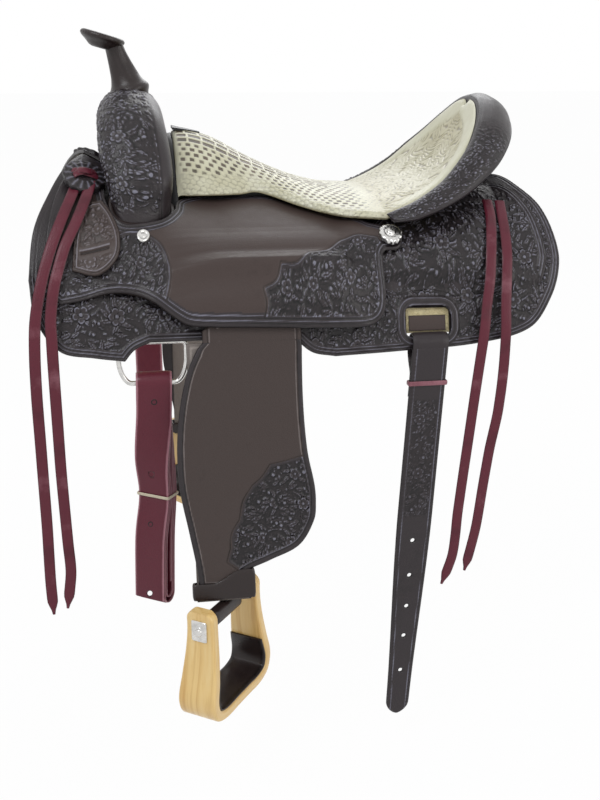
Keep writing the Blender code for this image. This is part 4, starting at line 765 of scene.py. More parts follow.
def trimmed(distance, lines, mask, drawing, where, plain=0.5):
    """Height change and tone of leather with beaded edge lines, carved where the mask is 1."""
    art = drawing.at(*where)
    tone = plain * (1 - mask) + mask * (drawing.tone(*where) + plain - 0.45)
    rise = RELIEF * mask * (art - 0.75)
    for at in lines:
        cut = groove(distance, at, 0.7)
        bead = groove(distance, at + 1.7, 0.75)
        # Painted highlight on each raised bead; the cut line beside it is darker.
        tone = tone * (1 - 0.85 * cut) + 0.55 * bead
        rise = rise - 0.8 * cut + 0.45 * bead
    return rise, tone


def laid(name, loops, low, high, material, side, relief=None, keep=None, place=on_side, step=STEP,
         back_step=14.0, rounded=1.5, edge=None):
    """A leather sheet on the side surface: fine outer face with its relief, coarse inner face, round edge."""
    points, faces, distance = fill(loops, step, keep)
    x, v = points.T
    if edge is not None:
        distance = edge(x, v, distance)
    height = high(x, v) if callable(high) else np.full(len(x), float(high))
    share = 1 - np.clip(distance / rounded, 0, 1)
    height = height - rounded * (1 - np.sqrt(np.clip(1 - share ** 2, 0, 1)))
    tone = np.full(len(x), 0.5)
    if relief is not None:
        rise, tone, *dark = relief(x, v, distance)
        height = height + rise * np.clip(distance / 1.2, 0, 1)
    outer = place(x, v, height, side)
    back, back_faces, back_distance = fill(loops, back_step)
    bx, bv = back.T
    base = low(bx, bv) if callable(low) else np.full(len(bx), float(low))
    inner = place(bx, bv, base, side)
    shift = len(outer)
    first = 0
    walls = []
    for number, loop in enumerate(loops):
        area = float((loop[:, 0] * np.roll(loop[:, 1], -1) - loop[:, 1] * np.roll(loop[:, 0], -1)).sum())
        inward = (area > 0) == (number == 0)
        for k in range(len(loop)):
            a, b = first + k, first + (k + 1) % len(loop)
            wall = (b, a, a + shift, b + shift)
            walls.append(wall if inward else wall[::-1])
        first += len(loop)
    back_faces = [tuple(k + shift for k in reversed(f)) for f in back_faces]
    everything = faces + back_faces + walls
    if side < 0:
        everything = [tuple(reversed(f)) for f in everything]
    tones = np.concatenate([tone, np.full(len(inner), 0.5)])
    rims = np.concatenate([np.clip(distance / 10, 0, 1), np.clip(back_distance / 10, 0, 1)])
    item = mesh_object(name, np.concatenate([outer, inner]), everything, material,
                       {"carve": tones, "rim": rims}, 60)
    if relief is not None and dark:
        item.data.materials.append(TOOLED)
        for face in item.data.polygons[:len(faces)]:
            face.material_index = int(dark[0][face.vertices[0]] > 0.5)
    return item


SKIRT_EDGE = [(-324, -65, 1), (-318, -21), (-292, 16), (-253, 25), (-219, 30, 1), (-207, 17), (-189, 9, 1),
              (-20, 9, 1), (2, 28), (30, 34, 1), (109, 31), (209, 25), (274, 9), (304, -28), (318, -67),
              (318, -101), (310, -147), (295, -183), (280, -218), (262, -236, 1)]
SKIRT_FRONT = [(-262, -268, 1), (-281, -222), (-298, -176), (-317, -123)]
DEE_NOTCH = [(-253, 25), (-236, 26, 1), (-236, -14, 1), (-134, -14, 1), (-134, 9, 1), (-20, 9, 1)]
JOCKEY = [(-289, -36, 1), (-267, -39), (-232, -45), (-204, -41), (-182, -30), (-160, -15), (-143, -7),
          (-110, -4, 1), (-73, -3), (33, 0), (72, -1), (86, -8), (92, -22), (93, -63), (97, -68, 1), (114, -70),
          (121, -84), (114, -98), (97, -104, 1), (86, -108, 1), (60, -132), (30, -158), (0, -176), (-60, -186),
          (-118, -182, 1),
          (-146, -158), (-152, -135), (-166, -118), (-190, -112), (-214, -116), (-229, -138), (-236, -172),
          (-243, -208, 1), (-264, -222), (-284, -185), (-300, -128), (-304, -80), (-300, -48)]
REAR_JOCKEY = [(84, -8, 1), (104, -8, 1), (106, -32, 1), (184, -32, 1), (190, -6, 1), (234, -8), (278, -26),
               (299, -66), (300, -95), (292, -144), (270, -188), (230, -200, 1), (170, -200), (140, -192, 1),
               (124, -158), (84, -104, 1)]
KEEPER = [(-238, -150, 1), (-226, -128), (-218, -101), (-220, -80), (-232, -68), (-248, -63), (-274, -71, 1),
          (-270, -109), (-261, -145, 1)]
FENDER_LEFT = [(-145, 302), (-147, 278), (-154, 236), (-163, 182), (-164, 135), (-159, 89), (-149, 48),
               (-136, 20)]
FENDER_RIGHT = [(-13, 84), (-10, 144), (-3, 185), (-2, 205), (-5, 228), (-24, 257), (-60, 273), (-88, 284),
                (-112, 303)]
FLEX_S = 12.0
CORNER = [(-59, -4, 1), (-53, -20), (-56, -34, 1), (-40, -40), (-34, -52, 1), (-14, -52), (2, -64, 1),
          (24, -68), (44, -82, 1), (64, -88), (90, -84, 1), (100, -60), (100, -20, 1), (80, 4, 1), (0, 6, 1)]
FRONT_ROUND = [(-300, -110, 1), (-226, -104), (-205, -106), (-185, -98), (-170, -84), (-162, -62), (-163, -44),
               (-172, -22, 1), (-300, -10, 1)]
FENDER_CORNER = [(-18, 150, 1), (-44, 156), (-56, 158, 1), (-66, 172), (-78, 182, 1), (-90, 200), (-95, 222, 1),
                 (-105, 238), (-107, 256, 1), (-112, 272, 1), (-86, 292, 1), (0, 292, 1), (20, 150, 1)]


REAR_VISIBLE = REAR_JOCKEY[:1] + [(96, -8, 1), (101, -22), (116, -33), (145, -37), (174, -33), (189, -22),
                                  (194, -8, 1)] + REAR_JOCKEY[5:]
SLOT = (118.0, 172.0, -18.0, 14.0)


def oval_distance(x, v):
    """Distance outside the rear slot's rounded edge."""
    cx, cv = (SLOT[0] + SLOT[1]) / 2, (SLOT[2] + SLOT[3]) / 2
    dx = np.maximum(np.abs(x - cx) - 17.0, 0)
    dv = np.maximum(np.abs(v - cv) - 6.0, 0)
    return np.hypot(dx, dv) - 10.0


def inner_edge(start, end, count):
    return [(start + (end - start) * k / count, 22.0 - arc_reach(start + (end - start) * k / count))
            for k in range(count + 1)]


def surface_tree(node, side):
    points = [Vector((p.co.x, side * p.co.y, p.co.z)) / MM for p in CAD[node].data.vertices]
    return BVHTree.FromPolygons(points, [tuple(face.vertices) for face in CAD[node].data.polygons])


TREES = {n: surface_tree(n, -1) for n in ("near_seat_jockey", "near_rear_jockey")}


def top_height(tree, x, v):
    """Highest that a laid sheet reaches above the surface close to a spot, as in the part's source."""
    best = float(jockey_high(x, v)) if x < 145.0 else float(rear_high(x, v))
    for dx, dv in ((0, 0), (7, 0), (-7, 0), (0, 7), (0, -7)):
        start = Vector(on_side(x + dx, v + dv, 90.0))
        down = (Vector(on_side(x + dx, v + dv, 0.0)) - start).normalized()
        distance = tree.ray_cast(start, down, 90.0)[3]
        if distance is not None:
            best = max(best, 90.0 - distance)
    return best


STRINGS = {
    "front_string_fore": ([(-265, -178, 6.0), (-274, -152, 8.2), (-286, -122, 8.2), (-297, -94, 8.0),
                           (-307, -64, 6.4), (-314, -36, 5.6), (-318, -12, 5.0)],
                          [(-320, 237, -92), (-321, 238, -133), (-321, 238, -188), (-321, 238, -242),
                           (-321, 238, -303), (-322, 238, -372), (-321, 238, -416)]),
    "front_string_aft": ([(-249, -178, 6.6), (-255, -152, 8.4), (-267, -124, 8.6), (-280, -98, 8.4),
                          (-295, -52, 6.4), (-300, -20, 5.4), (-300, 2, 5.0)],
                         [(-300, 237, -92), (-300, 238, -134), (-300, 238, -180), (-300, 238, -227),
                          (-299, 238, -281), (-298, 238, -324), (-297, 238, -359), (-304, 238, -409)]),
    "rear_string_fore": ([(240, -146, 0.8), (237, -121, 1.8), (231, -95, 3.0), (225, -68, 4.6),
                          (221, -43, 5.4), (216, -18, 7.0)],
                         [(212, 236, -78), (208, 239, -108), (203, 239, -158), (198, 239, -211),
                          (193, 239, -263), (188, 239, -319), (184, 239, -373), (171, 239, -414)]),
    "rear_string_aft": ([(256, -146, 1.8), (253, -121, 2.2), (250, -95, 3.0), (246, -68, 4.6),
                         (243, -43, 5.4), (240, -18, 7.0)],
                        [(239, 236, -78), (238, 239, -113), (237, 239, -141), (233, 239, -187),
                         (226, 239, -228), (219, 239, -286), (213, 239, -339), (201, 239, -397)]),
}
STRING_WIDTH = 13.0


def strap(name, centres, halves, thick, material, columns=10, edge=0.8, tones=None, dome=0.35, pale=False):
    """A soft flat strap: rounded edges, a slight dome, along centres with half-width vectors."""
    centres, halves = np.asarray(centres, float), np.asarray(halves, float)
    normals = unit(np.cross(np.gradient(centres, axis=0), halves))
    across = np.concatenate([np.linspace(-1, 1, columns), np.linspace(1, -1, columns)])
    width = np.linalg.norm(halves, axis=1)[:, None]
    inset = np.clip((1 - np.abs(across))[None, :] * width / edge, 0, 1)
    lift = (thick / 2) * (0.35 + 0.65 * np.sqrt(1 - (1 - inset) ** 2)) + dome * (1 - across[None] ** 2) - dome
    face = np.concatenate([np.ones(columns), -np.ones(columns)])
    rings = (centres[:, None] + halves[:, None] * across[None, :, None]
             + normals[:, None] * (lift * face[None])[..., None])
    rows, count = rings.shape[:2]
    rim = np.clip((1 - np.abs(across))[None] * width / 10, 0, 1) * np.ones((rows, 1))
    tone = np.full((rows, count), 0.5) if tones is None else np.repeat(np.asarray(tones)[:, None], count, 1)
    if pale:
        tone[:, [0, columns - 1, columns, count - 1]] = 1.3
        rim = np.maximum(rim, 0.3)
    return mesh_object(name, rings.reshape(-1, 3), tube_faces(rows, count, CAPPED), material,
                       {"carve": tone.ravel(), "rim": rim.ravel()}, 50)


def make_strings():
    """The four tie strings, as soft straps on the part's own routes."""
    for name, (laid_part, hanging) in STRINGS.items():
        tree = TREES["near_seat_jockey" if "front" in name else "near_rear_jockey"]
        points = [tuple(on_side(x, v, top_height(tree, x, v) + lift)) for x, v, lift in laid_part] + hanging
        run = smooth_run(smooth_run(points, 28.0), 5.0) * FLIP
        lengths = run_lengths(run)
        length = float(lengths[-1])
        along = unit(np.gradient(run, axis=0))
        wide = unit((1.0, 0, 0) - along * along[:, :1])
        done = lengths / length
        point = 1 - 0.75 * ss(0.965, 1.0, done)
        halves = wide * (STRING_WIDTH / 2 * point)[:, None]
        tones = 0.5 + 0.1 * np.sin(done * 23 + len(name)) + 0.1 * np.sin(done * 57)
        item = strap("near_" + name, run, halves, 2.6, WINE, 8, tones=tones, dome=0.25)
        finish_piece(item, "saddle", "burgundy_leather", "near_" + name)


def in_region(region, soft=2.5):
    """Mask that is 1 inside a flat region, and the distance to its edge."""
    loop = outline(region, 4.0)

    def mask(x, v):
        spots = np.stack([x, v], 1)
        sign = np.where(inside(spots, [loop]), 1.0, -1.0)
        distance = sign * loop_distance(spots, [loop])
        return np.clip(distance / soft, 0, 1), distance
    return mask


def exposed(outlines, reach):
    """Keep test: False well inside any of the outlines, where a sheet is hidden."""
    loops = [outline(o, 6.0) for o in outlines]

    def keep(x, v):
        spots = np.stack([x, v], 1)
        hidden = np.zeros(len(spots), bool)
        for loop in loops:
            within = inside(spots, [loop])
            deep = np.zeros(len(spots), bool)
            deep[within] = loop_distance(spots[within], [loop]) > reach
            hidden |= deep
        return ~hidden
    return keep


def foot_distance(x, v):
    """Rough distance outside the swell's foot on the side surface."""
    return (np.hypot((x - SWELL_FOOT[0]) / 34.0, (v - SWELL_FOOT[1]) / 28.0) - 1.0) * 30.0


def front_calm(x, v):
    """1 by the front edge, where the leather isn't carved."""
    return ss(-60, -95, v) * ss(-235, -258, x)

def make_welt(label, side):
    """Dark leather roll round the swell's foot."""
    angles = ring_angles(90)
    c, s = squared_circle(angles, 2.5)
    around = ring_angles(14)
    rows = []
    for k in range(90):
        fx = SWELL_FOOT[0] + c[k] * (37.0 + 5.0 * np.cos(around))
        fv = SWELL_FOOT[1] + s[k] * (31.5 + 5.0 * np.cos(around))
        rows.append(on_side(fx, fv, bar_high(fx, fv) + 1.5 + 4.5 * np.sin(around), side))
    item = ring_band(label + "_swell_welt", rows, SMOOTH, 0.45)
    finish_piece(item, "saddle", "smooth_leather")


def make_side(label, side):
    """Skirt, fleece, jockeys and what lies on them, of one side."""
    top_edge = inner_edge(230, -230, 40)
    border = outline(SKIRT_EDGE + top_edge + SKIRT_FRONT)
    slot = round_slot(*SLOT, 5.0)
    offset = 0.0 if side < 0 else 137.0

    def skirt_relief(x, v, distance):
        mask = np.clip((distance - 10) / 1.5, 0, 1) * (1 - ss(-150, -190, v))
        mask = mask * (1 - ss(-60, -100, v) * ss(-200, -245, x))
        rise, tone = trimmed(distance, (3.0, 6.8), mask, CARVED, (x + 400 + offset, v + 300), 0.42)
        oval = oval_distance(x, v)
        ring = np.clip(1 - np.abs(oval - 5.5) / 6.5, 0, 1)
        flat = np.clip((13 - oval) / 1.5, 0, 1)
        raised = 1.3 * ring ** 0.5 - 0.9 * groove(oval, 12, 0.8) - 0.6 * groove(oval, 5.5, 0.8)
        rise = rise * (1 - flat) + flat * raised
        # Pale lines on the slot's raised ring are painted highlights; its grooves are darker.
        tone = tone * (1 - flat) + flat * (0.42 + 0.5 * groove(oval, 2.4, 0.8) + 0.5 * groove(oval, 9.2, 0.8)
                                           - 0.4 * groove(oval, 12, 0.9) - 0.3 * groove(oval, 5.5, 0.8))
        calm = front_calm(x, v)
        return rise * (1 - 0.85 * calm), tone * (1 - calm) + 0.4 * calm

    item = laid(label + "_skirt_leather", [border, slot], SKIRT_LOW, SKIRT_HIGH, TOOLED, side, skirt_relief,
                exposed((JOCKEY, REAR_JOCKEY), 14.0), rounded=1.8)
    finish_piece(item, "saddle", "tooled_leather", label + "_skirt")

    lining = SKIRT_EDGE[:3] + DEE_NOTCH
    lining += [(2, 28), (30, 34, 1), (115, 31, 1), (115, 14, 1), (175, 14, 1), (175, 28, 1)] + SKIRT_EDGE[11:]
    make_fleece(label, side, outline(lining + top_edge + SKIRT_FRONT, 4.0))

    if side < 0:
        loop = outline([(122, -10, 1), (168, -10, 1), (168, 7.5, 1), (122, 7.5, 1)])
        item = laid("near_slot_lining_leather", [loop], FLEECE_THICK + 0.1, FLEECE_THICK + 0.8, BROWN, side,
                    rounded=0.3)
        finish_piece(item, "saddle", "smooth_leather")

    corner = in_region(CORNER)
    front = in_region(FRONT_ROUND)

    def jockey_relief(x, v, distance):
        a, da = corner(x, v)
        b, db = front(x, v)
        inner = np.maximum(a * np.clip((da - 3.5) / 1.2, 0, 1), b * np.clip((db - 4.0) / 1.2, 0, 1))
        inner = inner * np.clip((distance - 8.5) / 1.2, 0, 1)
        inner = inner * np.clip((foot_distance(x, v) - 12) / 2.0, 0, 1) * (1 - ss(-200, -216, v))
        rise, tone = trimmed(distance, (3.4, 7.4), inner, FINE_CARVED, (x + 310 + offset, v + 240), 0.5)
        # Painted highlight on the bead beside each region's cut line; the cut line is darker.
        for d in (da, db):
            cut = groove(d, 0.0, 0.9) * (distance > 8)
            bead = groove(d, 2.0, 0.9) * (distance > 8)
            tone = tone * (1 - 0.7 * cut) + 0.4 * bead
            rise = rise - 0.8 * cut + 0.4 * bead
        dark = np.maximum(np.maximum(a, b), 1 - ss(10, 12, distance))
        calm = front_calm(x, v)
        return rise * (1 - 0.85 * calm), (tone - 0.06 * dark) * (1 - calm) + 0.4 * calm, dark

    def eased(x, v):
        """The jockey's face, with a long slope below the hump over the leathers and a lip round the swell."""
        along = ss(-250, -150, x) * (1 - ss(20, 110, x))
        down = 1 - ss(44, 185, -v)
        high = jockey_high(x, v)
        spread = sum(jockey_high(x, v + move) for move in range(-36, 37, 9)) / 9.0
        soft = np.maximum(BAR_LOW + JOCKEY_THICK + 9.0 * along * down, spread)
        lip = 3.5 * np.clip(1 - np.abs(foot_distance(x, v) - 3.0) / 9.0, 0, 1) ** 2
        return np.logaddexp((high - 1.6) * 0.5, soft * 0.5) / 0.5 - 0.7 + lip

    item = laid(label + "_jockey_leather", [outline(JOCKEY)], jockey_low, eased, BROWN, side, jockey_relief)
    finish_piece(item, "saddle", "smooth_leather", label + "_seat_jockey")

    def rear_relief(x, v, distance):
        mask = np.clip((distance - 10) / 1.5, 0, 1) * (1 - ss(-150, -190, v))
        return trimmed(distance, (3.0, 6.8), mask, CARVED, (x + 400 + offset, v + 300), 0.42)

    def flush(x, v, distance):
        return np.where((v > -62) & (x < 288), np.maximum(distance, 12.0), distance)

    def merged(x, v):
        down = ss(-52, -34, v)
        return rear_high(x, v) * (1 - down) + (SKIRT_HIGH + 0.35) * down

    def merged_low(x, v):
        down = ss(-52, -34, v)
        return rear_low(x, v) * (1 - down) + (SKIRT_LOW + 1.0) * down

    item = laid(label + "_rear_jockey_leather", [outline(REAR_VISIBLE)], merged_low, merged, TOOLED, side,
                rear_relief,
                edge=flush)
    finish_piece(item, "saddle", "tooled_leather", label + "_rear_jockey")
    make_fittings(label, side)
    make_welt(label, side)


FLEECE_INSET = 4.0


def make_fleece(label, side, border):
    """Woolly lining: a lumpy layer that ends a little inside the leather."""
    direct = np.roll(border, -1, 0) - np.roll(border, 1, 0)
    direct /= np.maximum(np.linalg.norm(direct, axis=1), 1e-6)[:, None]
    out = np.stack([direct[:, 1], -direct[:, 0]], 1)
    sign = -1.0 if inside(border[5:6] + out[5:6] * 2.0, [border])[0] else 1.0
    drawn = border - sign * out * FLEECE_INSET
    border = np.where((border[:, 1:] > -240), drawn, border)
    points, faces, distance = fill([border], 4.0)
    rng = np.random.default_rng(5)
    x, v = points.T
    lump = 0.8 * np.sin(x / 7.3 + 2 * np.sin(v / 9.0)) * np.sin(v / 6.1 + 1.7 * np.sin(x / 11.0))
    lump = lump + 0.9 * rng.random(len(x))
    edge = np.clip(distance / 6, 0, 1)
    outer = on_side(x, v, FLEECE_THICK - 2.0 + 2.0 * edge, side)
    inner = on_side(x, v, -lump * edge, side)
    shift = len(points)
    every = [tuple(reversed(f)) if side > 0 else f for f in faces]
    every += [tuple(k + shift for k in (f if side > 0 else reversed(f))) for f in faces]
    count = len(border)
    for k in range(count):
        a, b = k, (k + 1) % count
        wall = (a, b, b + shift, a + shift)
        every.append(wall if side > 0 else tuple(reversed(wall)))
    item = mesh_object(label + "_fleece_wool", np.concatenate([outer, inner]), every, WOOL)
    finish_piece(item, "saddle", "fleece", label + "_fleece")


def disc(name, x, v, base, profile, side, material, count=48, shape=None, tone=None):
    """A round fitting on the side: rings of (radius, height), shaped by angle."""
    rings, tones = [], []
    angles = ring_angles(count)
    for radius, height in profile:
        reach = radius * (shape(angles) if shape else np.ones(count))
        px, pv = x + reach * np.cos(angles), v + reach * np.sin(angles)
        rings.append(on_side(px, pv, base + height, side))
        tones.append(np.full(count, 0.5) if tone is None else tone(radius, angles))
    faces = [face if side < 0 else face[::-1] for face in tube_faces(len(rings), count, ("end",))]
    return mesh_object(name, np.concatenate(rings), faces, material, even_rim(tones))


def make_fittings(label, side):
    """Rosettes, concho and, on the near side, the latigo's keeper."""
    tree = TREES["near_seat_jockey"]

    def highest(x, v, reach):
        """Height that clears the leather all round a fitting."""
        around = np.arange(8) * 0.785
        return max(top_height(tree, x + reach * math.cos(a), v + reach * math.sin(a)) for a in around) + 0.8

    x, v = -256.0, -186.0
    high = highest(x, v, 20)
    low = -6.0

    def scallop(a):
        return 1 + 0.035 * np.cos(14 * a)

    def stamps(radius, a):
        return 0.5 + 0.42 * np.cos(14 * a) * (12 < radius < 24) - 0.3 * (radius > 24)

    rings = [(25, low), (25, 1.0), (24.2, 2.4), (22.5, 3.0), (21, 2.3), (19.5, 3.1), (16.5, 3.1), (14.5, 2.4),
             (12.5, 2.9), (10, 2.9), (8.5, 2.2), (7.5, 2.2), (1, 2.2)]
    item = disc(label + "_front_rosette_leather", x, v, high, rings, side, TOOLED, 84, scallop, stamps)
    finish_piece(item, "saddle", "tooled_leather", label + "_front_rosette")
    if side < 0:
        make_knot(label, x, v, high + 2.6, side)

    x, v = 106.0, -84.0
    high = highest(x, v, 11)

    def petals(a):
        return 1 - 0.09 * (0.5 - 0.5 * np.cos(12 * a))

    rings = [(14, -3), (14.2, 1.2), (13.8, 2.1), (12.6, 2.9), (10.5, 3.3), (7.5, 2.7), (5.2, 2.1), (4.8, 3.4),
             (4.2, 4.4), (2.8, 5.1), (1.2, 5.35)]
    item = disc(label + "_rear_rosette_metal", x, v, high, rings, side, NICKEL, 64, petals)
    finish_piece(item, "saddle", "nickel", label + "_rear_rosette")

    x, v = -191.0, -96.0
    high = top_height(tree, x, v) + 0.8
    rings = [(7.5, -3), (7.6, 1.0), (7.1, 1.9), (6.2, 2.4), (5.2, 2.3), (4.3, 1.6), (3.7, 1.2), (3.0, 1.5),
             (2.0, 2.1), (0.8, 2.35)]
    item = disc(label + "_concho_metal", x, v, high, rings, side, NICKEL, 36)
    finish_piece(item, "saddle", "nickel", label + "_concho")
    if side < 0:
        make_keeper(label, side, tree)


def make_knot(label, x, v, base, side):
    """The strings' knot across the rosette: three short laced straps."""
    parts = []
    for angle, length, lift in ((0.25, 30, 2.2), (-0.35, 27, 3.8), (0.05, 20, 5.4)):
        run, halves = [], []
        for t in np.linspace(-1, 1, 15):
            px, pv = x + 0.5 * length * t * math.cos(angle), v + 0.5 * length * t * math.sin(angle)
            run.append(on_side(px, pv, base + lift * (1 - t ** 4), side))
            a = on_side(px - 5 * math.sin(angle), pv + 5 * math.cos(angle), base, side)
            b = on_side(px + 5 * math.sin(angle), pv - 5 * math.cos(angle), base, side)
            halves.append((a - b) / 2 * (1 - 0.25 * t * t))
        parts.append(strap("knot", run, halves, 2.4, WINE, 8))
    join(parts, label + "_string_knot")
    finish_piece(parts[0], "saddle", "burgundy_leather")


def join(parts, name):
    """Several meshes as one object."""
    bpy.ops.object.select_all(action="DESELECT")
    for part in parts:
        part.select_set(True)
    bpy.context.view_layer.objects.active = parts[0]
    bpy.ops.object.join()
    parts[0].name = name
    parts[0].data.name = name
    return parts[0]


def make_keeper(label, side, tree):
    """Tooled latigo keeper with its slot."""
    loop = outline(KEEPER, 3.0)
    xs, vs = np.arange(-290, -200, 6.0), np.arange(-165, -50, 6.0)
    grid = np.array([[top_height(tree, a, b) for b in vs] for a in xs]) + 0.8

    def smooth(x, v):
        fx = np.clip((x - xs[0]) / 6.0, 0, len(xs) - 1.001)
        fv = np.clip((v - vs[0]) / 6.0, 0, len(vs) - 1.001)
        i, j = fx.astype(int), fv.astype(int)
        a, b = fx - i, fv - j
        return ((grid[i, j] * (1 - a) + grid[i + 1, j] * a) * (1 - b)
                + (grid[i, j + 1] * (1 - a) + grid[i + 1, j + 1] * a) * b)

    def relief(x, v, distance):
        slot = np.exp(-((v + 89) / 1.3) ** 2) * (np.abs(x + 247) < 17)
        mask = np.clip((distance - 6) / 1.2, 0, 1) * np.clip((np.abs(v + 89) - 6) / 2, 0, 1)
        rise, tone = trimmed(distance, (3.0,), mask * 0.7, FINE_CARVED, (x + 350, v + 200), 0.5)
        # The slot is darkened as painted shade inside it, and the pale raised line beside it is a painted
        # highlight.
        pale = np.exp(-((v + 92) / 1.2) ** 2) * (np.abs(x + 247) < 18)
        return rise - 2.4 * slot + 0.6 * pale, tone * (1 - 0.9 * slot) + 0.5 * pale

    item = laid(label + "_keeper_leather", [loop], smooth, lambda x, v: smooth(x, v) + 3.5, BROWN, side, relief,
                step=1.1)
    finish_piece(item, "saddle", "tooled_leather", label + "_latigo_keeper")


def spline_rows(rows, factor):
    """Rows of points made finer along the first axis on a smooth curve."""
    rows = np.asarray(rows, float)
    count = len(rows)
    where = np.linspace(0, count - 1, (count - 1) * factor + 1)
    i = np.clip(where.astype(int), 0, count - 2)
    t = (where - i).reshape((-1,) + (1,) * (rows.ndim - 1))
    p0, p1, p2, p3 = rows[np.maximum(i - 1, 0)], rows[i], rows[i + 1], rows[np.minimum(i + 2, count - 1)]
    return 0.5 * ((2 * p1) + (p2 - p0) * t + (2 * p0 - 5 * p1 + 4 * p2 - p3) * t ** 2
                  + (3 * p1 - p0 - 3 * p2 + p3) * t ** 3)


def tube_faces(rows, count, caps=()):
    """Faces between rings of count points each, and the ends that are capped."""
    faces = []
    for k in range(rows - 1):
        for j in range(count):
            a, b = k * count + j, k * count + (j + 1) % count
            faces.append((a, b, b + count, a + count))
    if "start" in caps:
        faces.append(tuple(range(count - 1, -1, -1)))
    if "end" in caps:
        faces.append(tuple(range((rows - 1) * count, rows * count)))
    return faces

def fix_normals(item):
    """Turn a closed mesh's faces outward."""
    body = bmesh.new()
    body.from_mesh(item.data)
    bmesh.ops.recalc_face_normals(body, faces=body.faces)
    body.to_mesh(item.data)
    body.free()
    return item

def tube_piece(name, rows, material, tone, sharp, caps, body, slot, *nodes):
    """A tube of equal rings, its faces turned outward, on its body."""
    rows = np.array(rows)
    looks = None if tone is None else even_rim(tone)
    faces = tube_faces(rows.shape[0], rows.shape[1], caps)
    item = fix_normals(mesh_object(name, rows.reshape(-1, 3), faces, material, looks, sharp))
    return finish_piece(item, body, slot, *nodes)


FORK_OUTER = [(0, 196), (50, 192), (92, 176), (122, 150), (142, 120), (156, 94)]
FORK_INNER = [(0, 140), (32, 137), (60, 127), (80, 115), (96, 106), (104, 100)]
FORK_SHIFT = [0, 0, 1, 3, 6, 8]
FORK_SWELL = [0, 1, 2, 3, 2, 0]
FORK_SQUARENESS = [2.0, 2.05, 2.2, 2.4, 2.6, 2.7]
FORK_X = -200.0
FORK_HALF = 35.5
HORN_LEAN = math.radians(17.0)
NECK = 58.0
CAP_TILT = math.radians(16.0)


def squared_circle(angles, power):
    c, s = np.cos(angles), np.sin(angles)
    return np.sign(c) * np.abs(c) ** (2 / power), np.sign(s) * np.abs(s) ** (2 / power)


def make_swell():
    """Carved cover of the fork, with a smooth band along its rear and a seam round the horn."""
    offset = 4.3
    count = 210
    angles = ring_angles(count)
    half_row = []
    for outer, inner, shift, swell, power in zip(FORK_OUTER, FORK_INNER, FORK_SHIFT, FORK_SWELL,
                                                 FORK_SQUARENESS):
        c, s = squared_circle(angles, power)
        out, into = np.array(outer, float), np.array(inner, float)
        middle = (out + into) / 2
        across = (out - into) / 2
        across = across / np.linalg.norm(across) * (np.linalg.norm(across) + offset)
        length = FORK_HALF + swell + offset
        half_row.append(np.stack([FORK_X + shift + length * c, middle[0] + across[0] * s,
                                  middle[1] + across[1] * s], 1))
    c, s = squared_circle(angles, 2.7)
    fx = SWELL_FOOT[0] + (FORK_HALF - 7.0 + offset) * c
    fv = SWELL_FOOT[1] + (23.5 + offset) * s
    foot = on_side(fx, fv, bar_high(fx, fv) + 3.2)
    half_row.append(half_row[-1] * 0.45 + foot * 0.55)
    half_row[-1][:, 0] = half_row[-2][:, 0] * 0.5 + foot[:, 0] * 0.5
    half_row.append(foot)
    rows = np.array([r * FLIP for r in reversed(half_row[1:])] + half_row)
    rows = spline_rows(rows, 24)
    total = len(rows)
    centre = rows.mean(1)
    steps = run_lengths(centre)
    steps = steps - steps[total // 2]
    around = angles / (2 * math.pi) * 230.0
    a, b = np.meshgrid(np.abs(steps) * 1.35, around, indexing="ij")
    side_shift = np.where(steps < 0, 0.0, 151.0)[:, None]
    spot = (a * 0.8 + 60 + side_shift, b * 0.8 + 30)
    art = FINE_CARVED.at(*spot)
    angle = np.degrees(angles)[None] * np.ones((total, 1))
    front = ss(52, 58, angle) * (1 - ss(214, 222, angle))
    low_fade = 1 - ss(205, 222, np.abs(steps) * 1.18)[:, None]
    edge = groove(angle, 55, 1.9) + groove(angle, 61, 1.6) * 0.7 + groove(angle, 218, 2.0)
    mask = front * low_fade * (1 - np.clip(edge, 0, 1))
    tone = 0.42 * (1 - mask) + mask * FINE_CARVED.tone(*spot)
    # The light line between the two cut lines at the rear band is a painted highlight.
    tone = tone * (1 - 0.75 * np.clip(edge, 0, 1)) + 0.25 * groove(angle, 58, 1.5)
    rise = RELIEF * mask * (art - 0.75) - 0.8 * np.clip(edge, 0, 1)
    normal = unit(rows - centre[:, None])
    horn = np.array([FORK_X, 0, 196])
    near_horn = np.hypot(rows[..., 0] - horn[0], rows[..., 1] - horn[1])
    top = (rows[..., 2] > 150)
    seam = groove(near_horn, 34, 1.6) * top
    rise = rise - 1.0 * seam + 0.7 * groove(near_horn, 30, 2.2) * top
    tone = np.where((near_horn < 33) & top, 0.45, tone) * (1 - 0.8 * seam)
    rows = rows + normal * rise[..., None]
    tube_piece("swell_leather", rows, TOOLED, tone, None, (), "saddle", "tooled_leather", "swell_cover")


def horn_spot(along, radius, angle):
    axis = np.array([-math.sin(HORN_LEAN), 0, math.cos(HORN_LEAN)])
    sideways = np.array([math.cos(HORN_LEAN), 0, math.sin(HORN_LEAN)])
    base = np.array([FORK_X, 0, 200.0])
    along, radius, angle = np.broadcast_arrays(along, radius, angle)
    return (base + along[..., None] * axis + (radius * np.cos(angle))[..., None] * sideways
            + (radius * np.sin(angle))[..., None] * np.array([0, 1.0, 0]))


